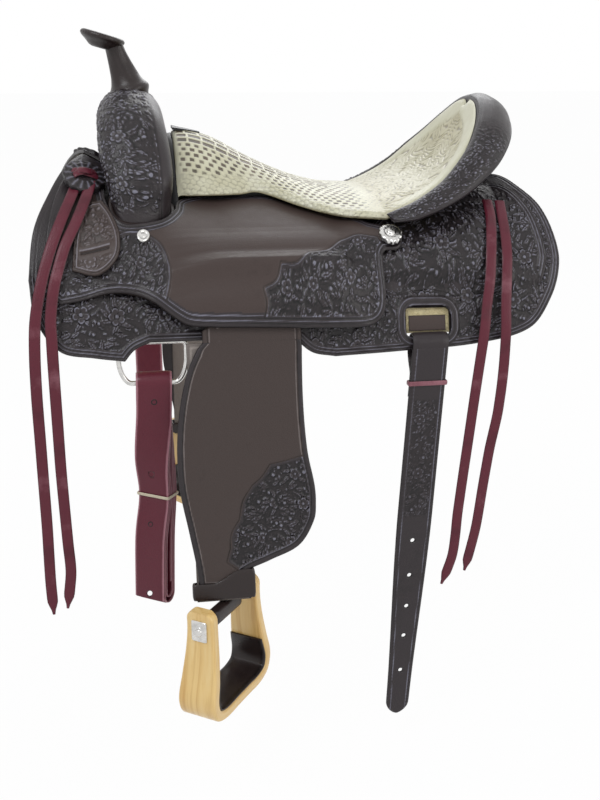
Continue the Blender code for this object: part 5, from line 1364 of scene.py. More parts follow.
def make_horn():
    """Wrapped neck and the cap with its raised binding."""
    along = np.linspace(-16, NECK - 3, 70)[:, None]
    angles = ring_angles(72)[None]
    share = np.clip(along / NECK, 0, 1)
    radius = 8.0 + 10.5 * (1 - share) ** 1.7 + 3.4
    radius = radius + 4.5 * np.exp(-((along + 4) / 7.0) ** 2) * (along > -16)
    crease = 0.35 * np.sin(5 * angles + along / 9) * ss(4, 18, along)
    seam = groove(np.mod(angles - 2.2 + math.pi, 2 * math.pi) - math.pi, 0.0, 0.06)
    points = horn_spot(along, radius + crease - 0.9 * seam, angles)
    tone = 0.46 + 0.12 * np.sin(3 * angles + along / 12) - 0.4 * seam + 0 * along
    tube_piece("horn_neck_leather", points, SMOOTH, tone, None, (), "saddle", "tooled_leather",
               "horn_neck_cover")

    middle = horn_spot(np.float64(NECK + 1.5), np.float64(0), np.float64(0)) + np.array([-12, 0, 3.0])
    up = np.array([math.sin(CAP_TILT), 0, math.cos(CAP_TILT)])
    fore = np.array([math.cos(CAP_TILT), 0, -math.sin(CAP_TILT)])
    outline_rows = smooth_run([(10.5, -12.5), (14.5, -11), (21, -6), (25.6, -2.8), (27.6, -0.6), (28, 1.2),
                               (27.6, 3.0), (26.2, 4.7), (23, 5.9), (17, 6.3), (9, 6.5), (1, 6.6)], 0.9)
    angles = ring_angles(96)
    rings, tones = [], []
    for radius, height in outline_rows:
        lace = 0.35 * np.cos(36 * angles) * math.exp(-((height - 1.6) / 1.5) ** 2) * (radius > 24)
        reach = radius + lace
        dip = -1.6 * (1 - (radius / 28) ** 2) if height > 4.5 else 0.0
        ring = (middle + up * (height + dip) + fore[None] * (reach * np.cos(angles))[:, None]
                + np.array([[0, 1.0, 0]]) * (reach * np.sin(angles))[:, None])
        rings.append(ring)
        cut = groove(radius, 22.0, 0.8) * (height > 4)
        tones.append(np.full(96, 0.42) + 0.3 * (lace > 0.15) - 0.3 * cut)
        rings[-1] = ring - up * 0.6 * cut
    tube_piece("horn_cap_leather", rings, SMOOTH, tones, None, CAPPED, "saddle", "tooled_leather", "horn_cap")


RIM = [(105, 160, 54), (140, 157, 68), (175, 148, 90), (203, 132, 118), (222, 110, 140), (238, 80, 163),
       (249, 40, 182), (252, 0, 188)]
SEAT_SIDE = [(-146, 98, 79), (-110, 92, 78), (-66, 80, 78), (-43, 75, 80), (6, 108, 66), (50, 143, 57),
             (105, 160, 54)]
SEAT_MIDDLE = [(-147, 0, 148), (-100, 0, 136), (-50, 0, 110), (0, 0, 88), (50, 0, 74), (105, 0, 70)]
CANTLE_MIDDLE = [(105, 0, 70), (140, 0, 73), (172, 0, 82), (200, 0, 100), (222, 0, 124), (238, 0, 150),
                 (250, 0, 181)]
SEAT_THICK = 13.0


def along_run(points, shares):
    """Points at shares of the length of a smooth curve."""
    run = smooth_run(points, 6.0)
    lengths = run_lengths(run)
    want = np.asarray(shares, float) * lengths[-1]
    return np.stack([np.interp(want, lengths, run[:, k]) for k in range(3)], -1)


def seat_point(edge, middle, w, drop, hold=1.0):
    """Points of the seat, w of the way across, drop under its top."""
    x = middle[..., 0] + (edge[..., 0] - middle[..., 0]) * w * w
    z = middle[..., 2] + (edge[..., 2] - middle[..., 2]) * w * w
    lean = ss(150, 250, middle[..., 0])
    back = drop * 0.75 * lean * (1 - hold * w * w)
    return np.stack([x + back, edge[..., 1] * w, z - drop * (1 - 0.35 * lean)], -1)


def make_seat():
    """Padded seat: crowned, with its printed scales as low relief, a rim band, the front binding and a black
    strip of painted shade on the front ridge.
    """
    front = np.linspace(0, 1, 181)[:-1]
    rear = np.linspace(0, 0.975, 171)
    edge = np.concatenate([along_run(SEAT_SIDE, front), along_run(RIM, rear)])
    middle = np.concatenate([along_run(SEAT_MIDDLE, front), along_run(CANTLE_MIDDLE, rear)])
    rows = len(edge)
    steps = run_lengths(middle)
    across = np.sin(np.linspace(-math.pi / 2, math.pi / 2, 231))
    across = 0.3 * across + 0.7 * np.linspace(-1, 1, 231)
    w = np.broadcast_to(across, (rows, len(across)))
    e, m = edge[:, None], middle[:, None]
    ends = np.minimum(np.arange(rows), rows - 1 - np.arange(rows))[:, None]
    crown = 3.5 * (1 - w * w) * np.clip(ends / 12, 0, 1)
    side_in = (1 - np.abs(w)) * edge[:, 1:2]
    sewn = 4.6 * np.clip(1 - side_in / 7.0, 0, 1) ** 2.2 + 3.0 * np.clip(1 - ends / 5, 0, 1) ** 2
    body = seat_point(e, m, w, sewn - crown)
    s = np.broadcast_to(steps[:, None], w.shape)
    lateral = np.concatenate([np.zeros((rows, 1)), np.linalg.norm(np.diff(body, axis=1), axis=2)], 1)
    lateral = np.cumsum(lateral, 1)
    lateral = np.abs(lateral - lateral[:, len(across) // 2:len(across) // 2 + 1])
    mark, tint, rise = seat_print(s, lateral, side_in)
    normal = unit(np.cross(np.gradient(body, axis=0), np.gradient(body, axis=1)))
    normal *= np.sign(normal[rows // 3, len(across) // 2, 2])
    body = body + normal * rise[..., None]
    under = seat_point(e, m, w * 0.985, SEAT_THICK - 5.0 * w * w)
    both = np.concatenate([body, under[:, ::-1]], 1)
    count = both.shape[1]
    marks = np.concatenate([mark, np.zeros_like(mark)], 1)
    tints = np.concatenate([tint, np.ones_like(tint)], 1)
    item = mesh_object("seat_leather", both.reshape(-1, 3), tube_faces(rows, count, caps=CAPPED), PRINT,
                       {"mark": marks.ravel(), "tint": tints.ravel()}, 70)
    fix_normals(item)
    finish_piece(item, "saddle", "print_leather", "seat")
    fold = seat_point(edge[:1], middle[:1], np.linspace(-1.1, 1.1, 61), 6.5) - (5.5, 0, 0)
    binding = strap("seat_front_binding", fold, np.tile((6.0, 0, 1.0), (61, 1)), 3.0, BLACK, 8)
    finish_piece(binding, "saddle", "smooth_leather")
    # A black strip raised on the front of the ridge: painted shade for the dark region at the seat's front
    # apex.
    strip_rows = 26
    ridge_line = seat_point(edge[:strip_rows, None], middle[:strip_rows, None],
                            np.linspace(-0.17, 0.17, 15)[None] * np.linspace(1, 0.45, strip_rows)[:, None],
                            -5.1)
    lowered = ridge_line - np.array([0, 0, 3.0])
    pad = np.concatenate([ridge_line, lowered[:, ::-1]], 1)
    tube_piece("seat_front_painted_shade_strip", pad, BLACK, np.full(pad.shape[:2], 0.5), 60, CAPPED, "saddle",
               "smooth_leather")


def seat_print(s, d, side_in):
    """Marks between the scales: long ones by the ridge, small ones lower, faint ones at the edge."""
    seat_end = 262.0
    lane = d + 1.6 * np.sin(s / 41.0) + 0.8 * np.sin(s / 13.0)
    wide = 11.6
    row = np.where(lane < 4 * wide, np.floor(lane / wide), 4 + np.floor((lane - 4 * wide) / 8.6))
    part = np.where(lane < 4 * wide, lane / wide, (lane - 4 * wide) / 8.6) % 1.0
    bold = (row < 4) & (s < 215)
    phase = np.where(bold, s / 18.0 + 0.06 * np.sin(row * 2.3), s / 11.5 + 0.5 * np.mod(row, 2))
    phase = phase + 0.10 * np.sin(s / 23.0 + row)
    column = np.floor(phase)
    cell = phase - column
    jitter = np.mod(np.sin(column * 12.99 + row * 78.23) * 43758.5, 1.0)
    long_mark = ss(0.04, 0.10, cell) * (1 - ss(0.88, 0.94, cell))
    short = ss(0.14, 0.28, cell) * (1 - ss(0.66, 0.82, cell))
    high = ss(0.12, 0.24, part) * (1 - ss(0.76, 0.88, part))
    strength = np.where(bold, 0.8 + 0.3 * jitter, 0.62 + 0.4 * jitter)
    edge_share = ss(7, 22, side_in)
    mark = np.where(bold, long_mark, short) * high * strength * (0.10 + 0.90 * edge_share)
    front_part = ss(2, 8, s) * (1 - ss(seat_end - 30, seat_end, s))
    mark = mark * front_part
    cell_x, cell_d = np.mod(s / 8.0 + 0.5 * np.mod(np.floor(d / 6.6), 2), 1.0), np.mod(d / 6.6, 1.0)
    scale = np.clip(1 - ((cell_x - 0.5) ** 2 + (cell_d - 0.5) ** 2) * 4.6, 0, 1)
    low = (1 - edge_share) * front_part
    rise = -0.8 * mark + 0.7 * scale * low
    mark = mark + 0.34 * low * (scale < 0.10)
    on_cantle = ss(seat_end - 14, seat_end + 14, s)
    band = (1 - ss(19, 31, side_in)) * ss(seat_end - 4, seat_end + 34, s)
    face = on_cantle * (1 - band)
    wave = s + 12.0 * np.sin(d / 21.0 + s / 33.0) + 5.0 * np.sin(d / 8.7 - s / 19.0)
    wave = wave + 2.5 * np.sin(d / 4.1 + s / 7.0)
    streak = np.sin(wave * 2 * math.pi / 7.6 + 1.3 * np.sin(s / 9.0 + d / 13.0))
    broken = 0.5 + 0.5 * np.sin(d / 6.3 + 2.9 * np.sin(s / 17.0 + d / 29.0) + 1.7 * np.sin(s / 5.3 - d / 11.0))
    ripple = ss(0.1, 0.85, streak) * (0.35 + 0.65 * ss(0.25, 0.7, broken))
    speck = ss(0.45, 0.9, np.sin(s / 1.3 + np.sin(d / 3)) * np.sin(d / 1.2 + np.sin(s / 4)))
    speckled = ss(seat_end - 60, seat_end - 10, s) * (1 - ss(40, 70, s - seat_end))
    mark = mark + 0.5 * face * ripple + 0.4 * speck * speckled
    rise = rise - 0.8 * face * ripple
    seam = groove(side_in, 28.0, 1.0) * ss(seat_end + 6, seat_end + 28, s)
    rise = rise - 0.3 * seam + 1.2 * band * np.sin(np.clip(side_in / 28.0, 0, 1) * math.pi)
    tint = 0.85 * face * (0.75 + 0.25 * np.sin(s / 31.0))
    return np.clip(mark, 0, 1), np.clip(tint, 0, 1), rise


def make_cantle():
    """Carved leather back of the cantle and its rolled rim."""
    shares = np.linspace(0.93 * 7 / 12, 0.96, 70)
    edge, middle = along_run(RIM, shares)[:, None], along_run(CANTLE_MIDDLE, shares)[:, None]
    w = np.linspace(-1, 1, 161)[None] * 0.985
    drop = SEAT_THICK + 14.0 + 1.9
    inner = seat_point(edge, middle, w + 0 * edge[..., 0], drop, 0.0)
    outer = seat_point(edge, middle, w + 0 * edge[..., 0], drop + 3.0, 0.0)
    floor_z = leather_top(outer[..., 0], np.abs(outer[..., 1])) + 1.6
    outer[..., 2] = np.maximum(outer[..., 2], floor_z)
    steps = np.cumsum(np.concatenate([[[0]], np.linalg.norm(np.diff(outer[:, 80:81], axis=0), axis=2)]), 0)
    edge_in = np.minimum((1 - np.abs(w)) * edge[..., 1], (steps.max() - steps) + 2)
    mask = ss(7, 10, edge_in)
    where = (outer[..., 1] + 260, steps * 1.1 + 190 + 0 * w)
    rise, tone = trimmed(edge_in, (3.0, 6.0), mask, CARVED, where, 0.42)
    outer[..., 0] += rise
    both = np.concatenate([inner, outer[:, ::-1]], 1)
    tones = np.concatenate([np.full_like(tone, 0.5), tone[:, ::-1]], 1)
    tube_piece("cantle_back_leather", both, TOOLED, tones, 60, CAPPED, "saddle", "tooled_leather",
               "cantle_back")
    make_roll()


def leather_top(x, y):
    """Height of the leather under the cantle at many points."""
    shape = x.shape
    x, y = x.ravel(), y.ravel()
    vs = -250 + 3.2 * np.arange(70)
    gx, gv = np.meshgrid(x, vs, indexing="ij")
    top = np.where(gv > -206, rear_high(gx, gv), SKIRT_HIGH)
    spots = on_side(gx, gv, top)
    best = np.abs(spots[..., 1] - y[:, None]).argmin(1)
    return spots[np.arange(len(x)), best, 2].reshape(shape)


ROLL_SHAPE = [(0.8, -7), (0.8, -3), (4, 1.5), (12, 3.5), (24, 2), (35, -4), (43, -13), (46.5, -22),
              (43, -27), (37, -24), (30, -16), (20, -10), (10, -7.5)]


def make_roll():
    """Rolled cantle rim, carved on its outer face, with a sewn line along its inner edge."""
    fine = smooth_run(ROLL_SHAPE[:8], 1.5)
    under = smooth_run(ROLL_SHAPE[7:] + ROLL_SHAPE[:1], 4.0)[1:-1]
    shape = np.concatenate([fine, under])
    shares = np.linspace(1, 0, 261)
    here = along_run(RIM, shares)
    ahead = along_run(RIM, np.minimum(shares + 0.02, 1.0))
    behind = along_run(RIM, np.maximum(shares - 0.02, 0.0))
    along = behind - ahead
    along[0] = (0, 1, 0)
    along = unit(along)
    out = unit(np.stack([along[:, 1], -along[:, 0], 0 * along[:, 0]], 1))
    up = np.cross(out, along)
    up *= np.sign(up[:, 2:3])
    blunt = 0.45 + 0.55 * np.sqrt(np.clip(shares / 0.09, 0, 1))
    width = 47 / 46.5 * (0.62 + 0.38 * ss(0.0, 0.75, shares)) * blunt
    tall = (0.55 + 0.45 * ss(0.0, 0.6, shares)) * blunt
    half = (here[:, None] + out[:, None] * (shape[None, :, 0] * width[:, None])[..., None]
            + up[:, None] * (shape[None, :, 1] * tall[:, None])[..., None])
    rows = np.concatenate([half[:0:-1] * FLIP, half])
    steps = run_lengths(rows[:, 10])
    around = run_lengths(shape)
    a, b = np.meshgrid(steps, around, indexing="ij")
    spot = (a + 40, b + 60)
    art = FINE_CARVED.at(*spot)
    share_both = np.abs(np.linspace(-1, 1, len(rows)))[:, None]
    last = around[len(fine) - 1]
    mask = ss(13, 16, b) * (1 - ss(last - 6, last - 3, b)) * ss(0.30, 0.46, share_both)
    lines = groove(b, 12.5, 1.0) + groove(b, last - 2, 0.9)
    sewn = groove(b, 8.5, 0.9)
    tone = 0.40 * (1 - mask) + mask * FINE_CARVED.tone(*spot)
    tone = tone * (1 - 0.7 * np.clip(lines, 0, 1)) - 0.2 * sewn
    rise = RELIEF * 0.8 * mask * (art - 0.75) - 0.7 * lines
    rise = rise - 0.5 * sewn + 0.5 * sewn * (np.sin(a * 2 * math.pi / 4.2) > 0)
    rows = rows + unit(rows - rows.mean(1)[:, None]) * rise[..., None]
    tube_piece("cantle_roll_leather", rows, TOOLED, tone, 65, CAPPED, "saddle", "tooled_leather",
               "cantle_roll")


def make_leg(label, side):
    """Fender, its upper piece, stirrup leather and hobble strap of one side."""
    offset = 0.0 if side < 0 else 91.0
    corner = in_region(FENDER_CORNER)

    def open_top(x, v, distance):
        left = np.interp(v, [12, 20, 48], [-129, -136, -149])
        return np.where(v < 26, np.clip(np.minimum(x - left, -12 - x), 0, None), distance)

    def fender_relief(x, v, distance):
        a, da = corner(x, v)
        mask = a * np.clip((da - 3.5) / 1.2, 0, 1) * np.clip((distance - 8) / 1.2, 0, 1)
        rise, tone = trimmed(distance, (6.0,), mask, FINE_CARVED, (x + 200 + offset, v - 120), 0.5)
        cut = groove(da, 0.0, 0.9) * (distance > 7)
        # Painted highlight on the bead beside the corner's cut line.
        tone = tone * (1 - 0.7 * cut) + 0.25 * groove(da, 2.0, 0.8) * (distance > 7)
        dark = np.maximum(a, 1 - ss(5, 7, distance))
        return rise - 0.7 * cut, tone - 0.12 * dark, dark

    loop = [(-129, FLEX_S, 1), (-12, FLEX_S, 1)] + FENDER_RIGHT[:-1]
    loop += [(-112, 303, 1), (-145, 302, 1)] + FENDER_LEFT[1:]
    item = laid(label + "_fender_leather", [outline(loop)], FENDER_LOW, FENDER_HIGH, FENDER, side,
                fender_relief,
                place=on_plane, edge=open_top)
    item.data.materials.append(FLESH)
    flesh_faces(item, side, FENDER_HIGH - 1.4)
    finish_piece(item, label + "_leg", "smooth_leather", label + "_fender")

    def open_foot(x, v, distance):
        return np.where(v > -5, np.clip(np.minimum(x + 129, -12 - x), 0, None), distance)

    upper = [(-129, 12.6, 1), (-129, -2, 1), (-100.5, -20), (-70.5, -28), (-40.5, -20), (-12, -2, 1),
             (-12, 12.6, 1)]
    item = laid(label + "_fender_top_leather", [outline(upper)], STRAP_LOW, FENDER_HIGH - 0.3, FENDER, side,
                lambda x, v, d: trimmed(d, (6.0,), 0 * x, FINE_CARVED, (x, v), 0.5), place=on_plane,
                edge=open_foot)
    finish_piece(item, label + "_leg_top", "smooth_leather", label + "_fender_top")

    strap_loop_points = [(-148, 12, 1), (-84, 12, 1), (-84, 318.5, 1), (-148, 318.5, 1)]
    item = laid(label + "_stirrup_strap", [outline(strap_loop_points)], STRAP_LOW, STRAP_LOW + STRAP_THICK,
                FLESH, side, lambda x, v, d: trimmed(d, (3.0,), 0 * x, FINE_CARVED, (x, v), 0.5),
                place=on_plane, step=2.5,
                rounded=1.0)
    finish_piece(item, label + "_leg", "smooth_leather", label + "_stirrup_leather")

    half, high = 33.5, 3.95
    rows = []
    shares = np.linspace(0, 1, 22)
    swell = 3.8 - 1.1 * np.abs(2 * shares - 1) ** 6
    for grow, t in [(0.8, 0.0)] + list(zip(swell, shares)) + [(0.8, 1.0)] + [(0.8, t) for t in shares[-2:0:-1]]:
        ring = rounded_box(half + grow, high + grow, 3.0 if grow > 1 else 0.8, 9, 28)
        upper_edge = 296.0 - 15.0 * ss(-14, 22, ring[:, 0])
        rows.append(on_plane(-116.0 + ring[:, 0], upper_edge + (315.0 - upper_edge) * t,
                             21.85 + ring[:, 1], side))
    item = ring_band(label + "_hobble_leather", rows, SMOOTH)
    finish_piece(item, label + "_leg", "smooth_leather", label + "_hobble_strap")
    make_stirrup(label, side)


def flesh_faces(item, side, limit):
    """The back and cut edges of a sheet on the side take the second material."""
    for face in item.data.polygons:
        centre = face.center / MM
        height = (side * centre.y - KNEE[0]) * SIN + (centre.z - KNEE[1]) * COS
        if height < limit:
            face.material_index = 1


def rounded_box(half_a, half_b, radius, arc=7, flats=10):
    """Points round a rectangle with round corners, with stations along its long sides."""
    radius = min(radius, half_b - 0.01, half_a - 0.01)
    points = []
    for cx, cy, start in ((half_a - radius, half_b - radius, 0), (radius - half_a, half_b - radius, 1),
                          (radius - half_a, radius - half_b, 2), (half_a - radius, radius - half_b, 3)):
        for k in range(arc + 1):
            angle = math.pi / 2 * (start + k / arc)
            points.append((cx + radius * math.cos(angle), cy + radius * math.sin(angle)))
        if start % 2 == 0:
            end = -cx
            for k in range(1, flats):
                points.append((cx + (end - cx) * k / flats, math.copysign(half_b, cy)))
    return np.array(points)


def ring_band(name, rows, material, tone=0.5):
    """A closed band: rows of rings round its section, joined last to first."""
    rows = np.array(rows)
    count = rows.shape[1]
    faces = tube_faces(len(rows), count)
    last = (len(rows) - 1) * count
    faces += [(last + j, last + (j + 1) % count, (j + 1) % count, j) for j in range(count)]
    looks = even_rim(np.full(rows.shape[:2], tone))
    return fix_normals(mesh_object(name, rows.reshape(-1, 3), faces, material, looks, 50))


STIRRUP_HALF = [(52, -24), (51, 0), (53, 30), (58, 60), (64, 88), (58, 105), (40, 111.5), (14, 111.5)]
STIRRUP_TURN = math.radians(55.0)


def turned(side, u, p, w):
    """Points in the stirrup's frame: along its bolt, down, and depth."""
    u, p, w = np.broadcast_arrays(np.asarray(u, float), np.asarray(p, float), np.asarray(w, float))
    centre = on_plane(-116.0, 319.0, 19.65)
    x = centre[0] - math.cos(STIRRUP_TURN) * u + math.sin(STIRRUP_TURN) * w
    y = centre[1] + math.sin(STIRRUP_TURN) * u + math.cos(STIRRUP_TURN) * w
    return np.stack([x, side * y, centre[2] - 12.0 - p], -1)


def stirrup_line(step=3.0):
    run = smooth_run(STIRRUP_HALF, step)
    whole = np.concatenate([run, run[::-1] * (-1, 1)])
    along = np.gradient(whole, axis=0)
    along[len(run) - 1] = along[len(run)] = (-1, 0)
    along = unit(along)
    return whole, np.stack([-along[:, 1], along[:, 0]], 1)


def make_stirrup(label, side):
    """Bent wooden stirrup with its leather tread, bolt and hanging loop."""
    line, inner = stirrup_line()
    body = label + "_stirrup_frame"
    rings, flow = [], []
    steps = run_lengths(line)
    for (point, into, step) in zip(line, inner, steps):
        depth = (36 + 14 * ss(-10, 95, point[1])) / 2
        end = min(step, steps[-1] - step)
        shrink = 1 - 0.35 * max(0.0, 1 - end / 9.0) ** 2
        section = rounded_box(depth * shrink, 6.5, 3.2, 6, 8)
        place = point[None] + into[None] * section[:, 1:2]
        rings.append(turned(side, place[:, 0], place[:, 1], section[:, 0]))
        flow.append(np.stack([np.full(len(section), step), section[:, 1] * 2.0,
                              section[:, 0] + 40 * (side > 0)], 1))
    count = len(section)
    item = mesh_object(label + "_stirrup_wood", np.concatenate(rings), tube_faces(len(rings), count,
                       caps=CAPPED), MAPLE, {"flow": np.concatenate(flow) * MM}, 50)
    fix_normals(item)
    finish_piece(item, body, "maple", label + "_stirrup")

    rows, tones = [], []
    for point, into in zip(line, inner):
        if point[1] < 58:
            continue
        depth = (36 + 14 * ss(-10, 95, point[1])) / 2 - 1
        w = np.linspace(-depth, depth, 15)
        edge = np.clip((depth - np.abs(w)) / 1.6, 0, 1)
        top = 6.9 + 2.5 * (0.45 + 0.55 * np.sqrt(1 - (1 - edge) ** 2))
        a = np.concatenate([np.full(15, 6.9), top[::-1]])
        ww = np.concatenate([w, w[::-1]])
        place = point[None] + into[None] * a[:, None]
        rows.append(turned(side, place[:, 0], place[:, 1], ww))
        tones.append(np.where(np.abs(np.abs(ww) - depth + 4) < 0.8, 0.15, 0.45))
    tube_piece(label + "_tread_leather", rows, SMOOTH, tones, 50, CAPPED, body, "smooth_leather",
               label + "_stirrup_tread")

    profile = [(-62.6, 0.6), (-62.5, 2.6), (-61.9, 4.0), (-61.2, 4.6), (-60.6, 4.8), (-60.5, 6.0), (-60.1, 6.6),
               (-59.8, 6.8), (-58.0, 4.0)]
    profile += [(-u, r) for u, r in reversed(profile)]
    angles = ring_angles(40)
    rings = [turned(side, np.full(40, u), r * np.cos(angles), r * np.sin(angles)) for u, r in profile]
    tube_piece(label + "_bolt_metal", rings, NICKEL, None, 30, CAPPED, body, "nickel", label + "_stirrup_bolt")

    plates = []
    for sign in (-1, 1):
        rows = []
        for out, shrink in ((57.6, 0.6), (59.2, 0.5), (59.8, 0.0), (60.0, -0.8)):
            ring = rounded_box(9.5 + shrink, 12.5 + shrink, 2.0, 5, 3)
            rows.append(turned(side, sign * out, ring[:, 1] - 1.0, ring[:, 0]))
        faces = tube_faces(4, len(rows[0]), caps=CAPPED)
        plates.append(fix_normals(mesh_object("plate", np.concatenate(rows), faces, NICKEL, None, 30)))
    item = join(plates, label + "_stirrup_plates")
    finish_piece(item, body, "nickel")

    top = 0.35 - 12.0
    rows = []
    angles = ring_angles(48)
    us = np.linspace(-29, 29, 24)
    for reach, u in [(0, us[0])] + [(1, u) for u in us] + [(0, us[-1])] + [(0, u) for u in us[-2:0:-1]]:
        radius = 4.4 + 3.5 * reach
        p, w = radius * np.cos(angles), radius * np.sin(angles)
        if reach:
            end = (29 - abs(u)) / 1.5
            radius -= 0.9 * max(0.0, 1 - end)
            p, w = radius * np.cos(angles), radius * np.sin(angles)
            high = p < 0
            p = np.where(high, np.maximum(top, p * 2.2), p)
            w = np.where(high & (p <= top), w * 0.8, w)
        rows.append(turned(side, u, p, w))
    item = ring_band(label + "_loop_leather", rows, SMOOTH)
    finish_piece(item, label + "_stirrup_hanger", "smooth_leather", label + "_leather_loop")


def dee_spot(x, down, out, side):
    top = on_plane(-187.0, 8.0, 8.1)
    x, down, out = np.broadcast_arrays(np.asarray(x, float), np.asarray(down, float), np.asarray(out, float))
    return np.stack([-187.0 + x, side * (top[1] + out), top[2] - down], -1)


def make_dee(label, side):
    """Rigging dee of round rod."""
    corner = [(-40, 6), (-38.2, 1.8), (-34, 0)]
    path = corner + [(x, 0) for x in np.linspace(-30, 30, 13)] + [(34, 0), (38.2, 1.8), (40, 6), (40, 12)]
    for angle in np.linspace(0, math.pi / 2, 20):
        path.append((25 + 15 * math.cos(angle), 18 + 32 * math.sin(angle)))
    path += [(-x, s) for x, s in reversed(path[len(corner) + 16:])]
    path += [(-40, 12)]
    path = np.array(path)
    along = unit(np.roll(path, -1, 0) - np.roll(path, 1, 0))
    out = np.stack([along[:, 1], -along[:, 0]], 1)
    angles = ring_angles(16)
    rows = [dee_spot(p[0] + o[0] * 3 * np.cos(angles), p[1] + o[1] * 3 * np.cos(angles),
                     3 * np.sin(angles), side)
            for p, o in zip(path, out)]
    item = ring_band(label + "_dee_metal", rows, NICKEL)
    finish_piece(item, "saddle", "nickel", label + "_front_dee")


LATIGO_LENGTH = 285.0
LATIGO_HALF = 21.0
LATIGO_LAYERS = (5.2, 8.8, 12.4)
LATIGO_PINCH = 3.4
PUNCH_RADIUS = 3.1


def latigo_waist(height):
    return np.exp(-((np.asarray(height, float) / LATIGO_LENGTH + 0.5) / 0.13) ** 2)


def latigo_spot(across, depth, height):
    turn = math.radians(34.0) * ss(0.08, 0.5, -np.asarray(height, float) / LATIGO_LENGTH)
    forward = 0.035 * height + 4.0 * latigo_waist(height)
    x = across * np.cos(turn) - depth * np.sin(turn)
    y = -depth * np.cos(turn) - across * np.sin(turn)
    return dee_spot(0.0, 50.0, 0.0, -1) + np.stack(np.broadcast_arrays(forward + x, y, height), -1)


def half_turn(cx, cz, radius, start, end, count=16):
    angles = start + (end - start) * np.arange(1, count) / count
    return [(cx + radius * math.cos(a), cz + radius * math.sin(a)) for a in angles]


def latigo_path():
    """(depth, height) points of one unbroken strap, folded in six runs over the dee."""
    low = -LATIGO_LENGTH

    def run(depth, bottom, upward):
        heights = np.append(np.linspace(0, bottom + 6, 44), bottom)
        squeeze = LATIGO_PINCH * latigo_waist(heights)
        rows = [(depth - math.copysign(s, depth), h) for s, h in zip(squeeze, heights)]
        return list(reversed(rows)) if upward else rows

    path = []
    for number, layer in enumerate(LATIGO_LAYERS):
        start = (low + 26, low + 14, low + 10)[number]
        finish = (low + 14, low + 10, low + 6)[number]
        path += run(-layer, start, True) + half_turn(0, 0, layer, math.pi, 0) + run(layer, finish, False)
        if number < 2:
            path += half_turn(-1.8, finish, layer + 1.8, 0, -math.pi)
    return path


def punch(item, place):
    """A hole right through a folded strap, along the line of sight of the photograph."""
    way = (Vector(place) - Vector(CAMERA_PLACE)).normalized()
    spin = way.to_track_quat("Z", "Y")
    rows = []
    for reach in (-35.0, 45.0):
        for k in range(20):
            angle = k * math.pi / 10
            around = Vector((PUNCH_RADIUS * math.cos(angle), PUNCH_RADIUS * math.sin(angle), 0))
            rows.append(Vector(place) + way * reach + spin @ around)
    tool = fix_normals(mesh_object("punch", [tuple(p) for p in rows], tube_faces(2, 20, caps=CAPPED), WINE))
    cutter = item.modifiers.new("punch", "BOOLEAN")
    cutter.object = tool
    cutter.solver = "EXACT"
    bpy.context.view_layer.update()
    mesh = bpy.data.meshes.new_from_object(item.evaluated_get(bpy.context.evaluated_depsgraph_get()))
    item.modifiers.clear()
    item.data = mesh
    bpy.data.objects.remove(tool)


def make_latigo():
    """The folded latigo with two punched holes, two black marks of painted shade for the inside of holes, and
    its cream tie.
    """
    path = np.array(latigo_path())
    edges = [latigo_spot(across, path[:, 0], path[:, 1]) for across in (-LATIGO_HALF, LATIGO_HALF)]
    centres, halves = (edges[0] + edges[1]) / 2, (edges[1] - edges[0]) / 2
    steps = np.linalg.norm(np.diff(centres, axis=0), axis=1)
    good = np.concatenate([[True], steps > 0.4])
    centres, halves = centres[good], halves[good]
    item = strap("latigo_leather", centres, halves, 3.0, WINE, 14, dome=0.15, pale=True)
    for height in (-112.0, -272.0):
        punch(item, latigo_spot(0.0, LATIGO_LAYERS[-1], height))
    body = "near_latigo_hank"
    finish_piece(item, body, "burgundy_leather", "latigo")
    # Two more holes are drawn as black dished discs: painted shade for the inside of a hole.
    marks = []
    angles = ring_angles(20)
    for height in (-20.0, -178.0):
        squeeze = float(LATIGO_PINCH * latigo_waist(height))
        rows = []
        for radius, out in ((3.6, 1.55), (3.3, 1.8), (2.7, 1.75), (2.2, 1.35), (0.2, 1.2)):
            rows.append(latigo_spot(radius * np.cos(angles), LATIGO_LAYERS[-1] - squeeze + out + 0 * angles,
                                    height + radius * np.sin(angles)))
        looks = even_rim(np.repeat([0.5, 0.6, 0.2, 0.0, 0.0], 20))
        marks.append(fix_normals(mesh_object("mark", np.concatenate(rows), tube_faces(5, 20, ("end",)), BLACK,
                                             looks)))
    item = join(marks, "latigo_hole_shade_marks")
    finish_piece(item, body, "burgundy_leather")
    rows = []
    for k in range(16):
        angle = 2 * math.pi * k / 16
        grow = 1.2 + 0.7 * math.cos(angle)
        height = -141.0 + 1.9 * math.sin(angle)
        ring = rounded_box(21 + grow, 10.5 + grow, 2.0, 6, 14)
        across = ring[:, 0] * (1 + 0.001 * math.cos(3 * angle))
        rows.append(latigo_spot(across, ring[:, 1], height + 0 * across))
    item = ring_band("latigo_tie_lace", rows, LACE)
    finish_piece(item, body, "cream_lace", "latigo_tie")


def loop_points(length, back, radius, thick, meet, front_step):
    """(down, depth) points of a strap that turns over a bar and comes back behind itself."""
    mid = radius + thick / 2
    front = [(p, mid) for p in np.linspace(length, 4, int(length / front_step))]
    turn = [(-mid * math.sin(a), mid * math.cos(a)) for a in np.linspace(0, math.pi, 21)]
    inner = mid - thick - 0.4
    rear = smooth_run([(0, -mid), (meet * 0.3, -mid), (meet * 0.65, -mid * 0.35), (meet, inner - 1.0),
                       (meet + 8, inner), (meet + back, inner)], 3.0)[1:]
    return np.concatenate([front, turn, rear])


BILLET_LENGTH = 492.0
BILLET_HALF = 22.0
BILLET_THICK = 3.5
BILLET_TURN = 10.0
BILLET_HOLES = (250.6, 297.5, 339.8, 380.8, 429.6)
HOLE_RADIUS = 2.8

